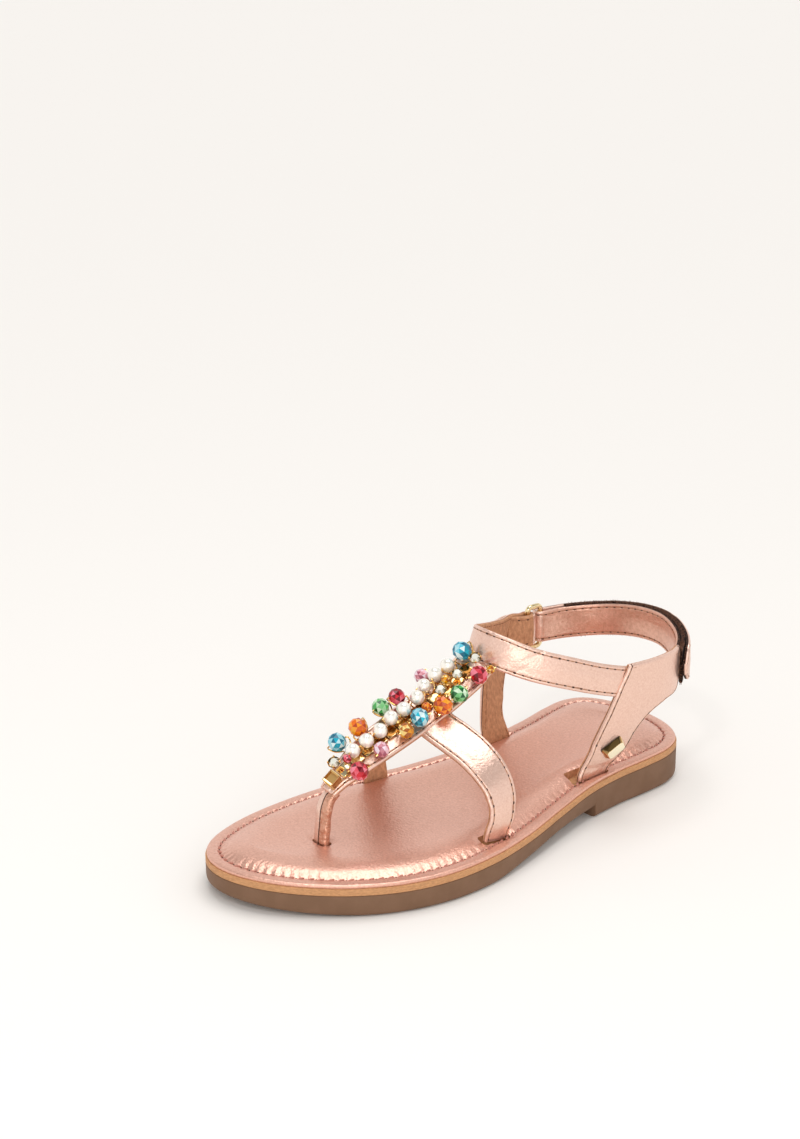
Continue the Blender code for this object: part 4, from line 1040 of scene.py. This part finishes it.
# %% Ring
RING_WIRE, RING_HEIGHT, RING_CORNER = 2.2, 17.4, 1.9
RING_SIDES, CORNER_STEPS = 12, 7
SIDEWAYS = np.array([1.0, 0.0, 0.0])
half_y = (RING_BACK_BAR - RING_FRONT_BAR) / 2 - RING_CORNER
half_z = RING_HEIGHT / 2 - RING_CORNER
ring_centre = np.array([RING_X, (RING_FRONT_BAR + RING_BACK_BAR) / 2, RING_MIDDLE])
rings = []
for quadrant in range(4):
    corner = quadrant * math.pi / 2 + math.pi / 4
    for turn in np.linspace(quadrant, quadrant + 1, CORNER_STEPS) * math.pi / 2:
        radial = np.array([0.0, math.cos(turn), math.sin(turn)])
        spine = ring_centre + RING_CORNER * radial + np.array(
            [0.0, half_y * np.sign(math.cos(corner)), half_z * np.sign(math.sin(corner))])
        rings.append(metres([spine + RING_WIRE / 2 * (radial * math.cos(a) + SIDEWAYS * math.sin(a))
                             for a in np.linspace(0, 2 * math.pi, RING_SIDES, endpoint=False)]))
shape = bmesh.new()
sweep(shape, rings, closed_path=True)
piece("gold_ring", shape, [PALE_GOLD], "gold", ["ring"])

# %% [markdown]
# Stitches are what the eye reads first on a sandal. One stitch is a low stretched ball, laid along its line
# and half sunk in the groove. Between two stitches the needle hole is a short dark dash, which is painted
# shade for the hole. A line gets as many as fit. A small ball has few faces, since there are hundreds.

# %% Stitches
def stitch(row, middle, direction, normal, sizes, material):
    length, thick, high = sizes
    side = np.cross(normal, direction)
    turn = Matrix((side * thick / 2, normal * high / 2, direction * length / 2)).transposed()
    place = (turn * MM).to_4x4()
    place.translation = Vector(metres(middle))
    made = bmesh.ops.create_uvsphere(row, u_segments=6, v_segments=4, radius=1.0, matrix=place)
    for face in {face for vertex in made["verts"] for face in vertex.link_faces}:
        face.smooth = True
        face.material_index = material


def stitch_along(shape, points, normals, pitch, thread, hole, sink, tilt=0.0):
    """Thread and hole are (length, thickness, height). The thread lies at the sink, and the hole lies deeper,
    as a dark dash of painted shade.
    """
    run = run_along(points)
    count = int(run[-1] / pitch)
    row = bmesh.new()
    for k in range(2 * count):
        at = (k + 0.5) * run[-1] / count / 2
        before, spot, after = (read_at(at + step, run, points) for step in (-0.4, 0.0, 0.4))
        normal = unit(read_at(at, run, normals))
        direction = unit(after - before)
        direction = unit(direction + np.cross(normal, direction) * tilt)
        normal = unit(normal - direction * np.dot(normal, direction))
        kind = k % 2
        stitch(row, spot - normal * (sink + 0.1 * kind), direction, normal, (thread, hole)[kind], kind)
    pour(shape, row)
    return count


STRAP_SEWING = (3.3, (2.7, 0.38, 0.34), (1.35, 0.85, 0.36), 0.04)
BED_SEWING = (STITCH_PITCH, (3.0, 1.1, 0.80), (0.8, 0.6, 0.45), -0.18, 0.6)
total = 0
for name, lines, thread_used in (("strap_stitches", stitch_lines, THREAD),
                                 ("lining_stitches", lining_lines, TAN_THREAD)):
    shape = bmesh.new()
    for points, normals in lines:
        total += stitch_along(shape, points, normals, *STRAP_SEWING)
    piece(name, shape, [thread_used, SEAM_AND_SHADE], "fastener")

shape = bmesh.new()
groove = footbed_loop(FOOTBED_RINGS[GROOVE_RING])
groove = np.vstack([groove, groove[:1]])
up = np.broadcast_to((0.0, 0.0, 1.0), groove.shape)
total += stitch_along(shape, groove, up, *BED_SEWING)
piece("footbed_stitches", shape, [PINK_THREAD, SEAM_AND_SHADE], "fastener")
print("stitches:", total)

# %% [markdown]
# Finishes for the stones and for cut gold. Cut glass lets light through, so its colour comes from a tinted
# Principled shader with transmission. Every facet carries a number of its own as an attribute, and a ramp
# turns it into a dark, a clear or a bright tint. The clear tint is the stone's or the gold's own colour. The
# dark and bright tints are painted shade and painted glints, standing in for the light that cut glass and
# polished gold bend and mirror.

# %% Stone finishes
def crystal(name, painted_dark, clear, spark, metallic=0.0, through=0.15, rough=0.03):
    """Cut glass, or cut gold with metallic at 1 and nothing through."""
    made = simple_material(name, clear, rough, metallic)
    tree = made.node_tree
    shader = tree.nodes["Principled BSDF"]
    for label, value in (("Transmission Weight", through), ("IOR", 1.55)):
        shader.inputs[label].default_value = value
    # Ramp from the facet number: painted dark, then the own colour, then a painted glint.
    facet = add_node(tree, "ShaderNodeAttribute", attribute_name="facet")
    tint = add_node(tree, "ShaderNodeValToRGB", {0: facet.outputs["Fac"]})
    tint.color_ramp.elements.new(0.6)
    for stop, place, colour in zip(tint.color_ramp.elements, (0.22, 0.58, 0.92), (painted_dark, clear, spark)):
        stop.position = place
        stop.color = (*colour, 1.0)
    tree.links.new(tint.outputs[0], shader.inputs["Base Color"])
    return made


# Each row gives the painted dark facets, the stone's own colour, and the painted glints.
STONE_TINTS = {
    "aqua_crystal": ((0.0, 0.15, 0.25), (0.02, 0.60, 0.80), (0.85, 1.0, 1.0)),
    "orange_crystal": ((0.50, 0.05, 0.0), (1.0, 0.20, 0.0), (1.0, 0.44, 0.03)),
    "green_crystal": ((0.0, 0.10, 0.02), (0.08, 0.50, 0.11), (0.80, 1.0, 0.74)),
    "red_crystal": ((0.16, 0.0, 0.008), (0.72, 0.0, 0.02), (1.0, 0.27, 0.36)),
    "pink_crystal": ((0.42, 0.10, 0.16), (0.90, 0.38, 0.44), (1.0, 0.84, 0.95)),
    "amber_crystal": ((0.42, 0.10, 0.0), (1.0, 0.42, 0.0), (1.0, 0.86, 0.34)),
    "clear_stone": ((0.07, 0.06, 0.03), (0.74, 0.75, 0.60), (1.0, 1.0, 0.96))}
STONES = {name: crystal(name, *tints) for name, tints in STONE_TINTS.items()}
STONES["pearl"] = NACRE
# Gold for the plates, the slide and the rivet: its own colour between a painted dark reflection and a painted
# glint.
CUT_GOLD = crystal("cut_gold", (0.30, 0.13, 0.03), (0.90, 0.57, 0.21), (1.0, 0.84, 0.52), 1.0, 0.0, 0.14)
SATIN_GOLD = crystal("satin_gold", (0.50, 0.25, 0.07), (0.95, 0.62, 0.25), (1.0, 0.88, 0.58), 1.0, 0.0, 0.38)
CUT_PALE_GOLD = crystal("cut_pale_gold", (0.05, 0.03, 0.01), (0.82, 0.52, 0.22), (1.0, 0.93, 0.70), 1.0, 0.0,
                        0.12)
cutter = np.random.default_rng(11)


# A random number for each face. The ramp turns some faces into painted shade or painted glints.
def number_facets(shape):
    layer = shape.faces.layers.float.new("facet")
    for face in shape.faces:
        face[layer] = float(cutter.uniform(0.0, 1.0))


print("stone finishes:", list(STONES))

# %% [markdown]
# The rivet is an oblong stud with slanting sides. A cube's upper face is drawn in and its edges broken, then
# a matrix gives it its sizes and carries it to the wall. Each side gets a painted reflection: its tint is set
# by the way it faces, dark on the side turned up and pale on the top and on the side turned down, as polished
# gold mirrors another part of the room on each side. Its flat back sits on the lining.

# %% Rivet
def placed(spot, side, up, out, sizes):
    """A matrix from a unit shape to a place on the shoe: three directions with their sizes."""
    turn = Matrix((side * sizes[0], up * sizes[1], out * sizes[2])).transposed() * MM
    matrix = turn.to_4x4()
    matrix.translation = Vector(metres(spot))
    return matrix


RIVET_Y, RIVET_Z, RIVET_LEAN = 52.6, 27.6, -38.0
RIVET_SIZES, RIVET_TOP = (9.6, 6.6, 2.4), (0.77, 0.67, 1.0)
RIVET_BACK_SIZES = (5.2, 5.2, 0.8)
spot, out = (v[0] for v in wall(1, np.array([RIVET_Y]), np.array([RIVET_Z]), 0.0))
along = unit(np.array([0.0, 1.0, 0.0]) - out * out[1])
up = np.cross(out, along)
up *= np.sign(up[2])
lean = math.radians(RIVET_LEAN)
along, up = along * math.cos(lean) - up * math.sin(lean), along * math.sin(lean) + up * math.cos(lean)
shape = bmesh.new()
bmesh.ops.create_cube(shape, size=1.0)
top = [v for v in shape.verts if v.co.z > 0]
bmesh.ops.scale(shape, vec=RIVET_TOP, verts=top)
soften(shape, [edge for edge in shape.edges if drop(edge) > 0.5], 0.15, 4)
soften(shape, [edge for edge in shape.edges if edge.calc_face_angle(0.0) > 0.5], 0.05, 3)
seat = spot + out * (QUARTER_LAP + SEAT + RIVET_SIZES[2] / 2)
bmesh.ops.transform(shape, matrix=placed(seat, along, up, out, RIVET_SIZES), verts=shape.verts)
shape.normal_update()
# Painted reflection: each face's tint number comes from the way it faces.
layer = shape.faces.layers.float.new("facet")
for face in shape.faces:
    face[layer] = 0.55 + 0.45 * face.normal.dot(Vector(out)) - 0.6 * face.normal.dot(Vector(up))
piece("rivet_stud", shape, [CUT_PALE_GOLD], "gold", ["rivet_cap"], sharp=30.0)
shape = bmesh.new()
bmesh.ops.create_cone(shape, cap_ends=True, segments=24, radius1=0.5, radius2=0.5, depth=1.0)
soften(shape, [edge for edge in shape.edges if drop(edge) < 0.1], 0.12, 2)
seat = spot + out * (QUARTER_LAP - QUARTER_LEATHER - SEAT - RIVET_BACK_SIZES[2] / 2)
bmesh.ops.transform(shape, matrix=placed(seat, along, up, out, RIVET_BACK_SIZES), verts=shape.verts)
piece("rivet_flat", shape, [PALE_GOLD], "gold", ["rivet_back"])

# %% [markdown]
# The beads sit on a chain of small gold plates along the T-strap. Each plate is a bevelled block, set on
# the strap's own directions. A box-shaped slide closes the chain at the front.

# %% Plates and slide
T_ALONG, T_OUT, T_ACROSS = directions(t_path[:, :3], t_facing)


def on_strap(at):
    """The place at a distance along the T-strap, and the directions along, across and out there."""
    return [read_at(at, t_run, table) for table in (t_path[:, :3], T_ALONG, T_ACROSS, T_OUT)]


BED_START, BED_END, BED_WIDTH, BED_DEPTH, PLATE = 6.5, 74.0, 5.0, 1.0, 5.6
SLIDE_AT, SLIDE_SIZES = 3.6, (5.6, 4.6, 4.4)
shape = bmesh.new()
plates = int((BED_END - BED_START) / PLATE)
for number in range(plates):
    spot, along, across, out = on_strap(BED_START + (number + 0.5) * (BED_END - BED_START) / plates)
    bmesh.ops.create_cube(shape, size=1.0, matrix=placed(
        spot + out * (SEAT + BED_DEPTH / 2), along, across, out, (PLATE - 0.5, BED_WIDTH, BED_DEPTH)))
soften(shape, list(shape.edges), 0.3 * MM, 2)
number_facets(shape)
piece("gold_plates", shape, [CUT_GOLD], "gold", ["bead_bed"])

shape = bmesh.new()
bmesh.ops.create_cube(shape, size=1.0)
lid = [f for f in shape.faces if f.normal.z > 0.9]
ends = [f for f in shape.faces if abs(f.normal.x) > 0.9]
bmesh.ops.inset_individual(shape, faces=lid, thickness=0.2, depth=-0.28)
bmesh.ops.inset_individual(shape, faces=ends, thickness=0.14, depth=-0.2)
soften(shape, [edge for edge in shape.edges if edge.calc_length() > 0.9], 0.1, 3)
spot, along, across, out = on_strap(SLIDE_AT)
seat = spot + out * (SEAT + SLIDE_SIZES[2] / 2)
bmesh.ops.transform(shape, matrix=placed(seat, along, across, out, SLIDE_SIZES), verts=shape.verts)
number_facets(shape)
piece("gold_slide", shape, [SATIN_GOLD], "gold", ["box_slide"])

# %% [markdown]
# Beads: pearls are round, crystals are cut in flat facets, and all are held by bent gold wire. Their places
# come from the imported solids: the middle of each node's box.

# %% Beads and wire
CRYSTALS = "aqua orange green red pink aqua red pink amber aqua orange green red".split()
SEEDS = "amber red orange amber".split()
WIRE, WIRE_SIDES, WIRE_STEP = 0.32, 6, 0.7


def node_ball(node):
    low, high = (np.array(corner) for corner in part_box(node))
    return (low + high) / 2 / MM - SHIFT, float(np.max(high - low)) / MM


def strap_directions(centre):
    near = int(np.argmin(np.linalg.norm(t_path[:, :3] - centre, axis=1)))
    return T_ALONG[near], T_ACROSS[near], T_OUT[near], t_path[near, :3]


def bead(kind, number, slot, wire):
    node = f"{kind}_{number}"
    centre, size = node_ball(node)
    along, across, out, foot = strap_directions(centre)
    lean = unit(along + across * 0.5 * math.sin(number * 2.1) + out * 0.3 * math.sin(number * 1.3))
    side = unit(np.cross(out, lean))
    shape = bmesh.new()
    if kind == "pearl":
        bmesh.ops.create_uvsphere(shape, u_segments=24, v_segments=16, radius=0.5)
        for face in shape.faces:
            face.smooth = True
    else:
        bmesh.ops.create_icosphere(shape, subdivisions=2, radius=0.5)
    sizes = (size, size, size * 0.94)
    bmesh.ops.transform(shape, matrix=placed(centre, side, np.cross(lean, side), lean, sizes),
                        verts=shape.verts)
    number_facets(shape)
    piece(node + "_bead", shape, [STONES[slot]], slot, [node], sharp=10.0 if kind != "pearl" else 60.0)
    inward = unit(foot - centre)
    for way in (1, -1):
        reach = size / 2
        start = centre + lean * way * reach * 0.8
        knee = centre + lean * way * (reach + 0.4)
        hip = centre + lean * way * reach * 0.9 + inward * reach * 0.8
        end = centre + lean * way * reach * 0.2 + inward * (reach + 0.9)
        path, _ = even_path((start, knee, hip, end), WIRE_STEP)
        _, aside, over = directions(path, np.broadcast_to(side, path.shape))
        turns = np.linspace(0, 2 * math.pi, WIRE_SIDES, endpoint=False)
        sweep(wire, [metres([point + WIRE * (math.cos(a) * aside[i] + math.sin(a) * over[i]) for a in turns])
                     for i, point in enumerate(path)])


wire = bmesh.new()
for number in range(1, 10):
    bead("pearl", number, "pearl", wire)
for number, tint in enumerate(CRYSTALS, 1):
    bead("crystal", number, tint + "_crystal", wire)
for number, tint in enumerate(SEEDS, 1):
    bead("seed", number, tint + "_crystal", wire)
piece("bead_wire", wire, [GOLD], "gold")

# %% [markdown]
# Four clear stones sit in gold cups. The cup is a cone with its top face inset and pushed down, and four
# small claws hold the stone. The stone is cut: a table, a slanting crown and a girdle.

# %% Stones in cups
CUP_SIZES = (2.5, 2.5, 2.5)
CLAW_OUT, CLAW_UP, CLAW_SIZES = 0.86, 0.5, (0.16, 0.16, 0.34, 1)
# Facet numbers for the clear stones: the table takes the clear tint, and the other facets are painted
# reflections, dark and bright in turn.
TABLE_TINT, CROWN_REFLECTIONS = 0.62, (0.1, 0.95, 0.5, 0.32, 0.75)
for number in range(1, 5):
    low, high = (np.array(corner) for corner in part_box(f"cup_{number}"))
    centre = (low + high) / 2 / MM - SHIFT
    along, across, out, _ = strap_directions(centre)
    stone_low, stone_high = (np.array(corner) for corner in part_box(f"stone_{number}"))
    stone_centre = (stone_low + stone_high) / 2 / MM - SHIFT
    shape = bmesh.new()
    bmesh.ops.create_cone(shape, cap_ends=True, segments=16, radius1=0.55, radius2=0.95, depth=0.8)
    lid = [f for f in shape.faces if f.normal.z > 0.9]
    bmesh.ops.inset_region(shape, faces=lid, thickness=0.14, depth=0.0)
    bmesh.ops.translate(shape, vec=(0, 0, -0.3), verts=list({v for f in lid for v in f.verts}))
    for turn in range(4):
        angle = turn * math.pi / 2 + math.pi / 4
        foot = (CLAW_OUT * math.cos(angle), CLAW_OUT * math.sin(angle), CLAW_UP)
        bmesh.ops.create_uvsphere(shape, u_segments=8, v_segments=6, radius=1.0,
                                  matrix=Matrix.Translation(foot) @ Matrix.Diagonal(CLAW_SIZES))
    bmesh.ops.transform(shape, matrix=placed(centre, along, across, out, CUP_SIZES), verts=shape.verts)
    piece(f"gold_cup_{number}", shape, [GOLD], "gold", [f"cup_{number}"])
    shape = bmesh.new()
    bmesh.ops.create_cone(shape, cap_ends=True, segments=8, radius1=0.85, radius2=0.5, depth=0.5)
    soften(shape, [edge for edge in shape.edges if drop(edge) > 0.1], 0.12, 1)
    bmesh.ops.transform(shape, matrix=placed(stone_centre, along, across, out, CUP_SIZES), verts=shape.verts)
    shape.normal_update()
    # Painted reflections: apart from the table, the facets are set dark or bright in turn.
    layer = shape.faces.layers.float.new("facet")
    for order, face in enumerate(shape.faces):
        is_table = face.normal.dot(Vector(out)) > 0.9
        face[layer] = TABLE_TINT if is_table else CROWN_REFLECTIONS[order % len(CROWN_REFLECTIONS)]
    piece(f"clear_stone_{number}", shape, [STONES["clear_stone"]], "clear_stone", [f"stone_{number}"],
          sharp=10.0)
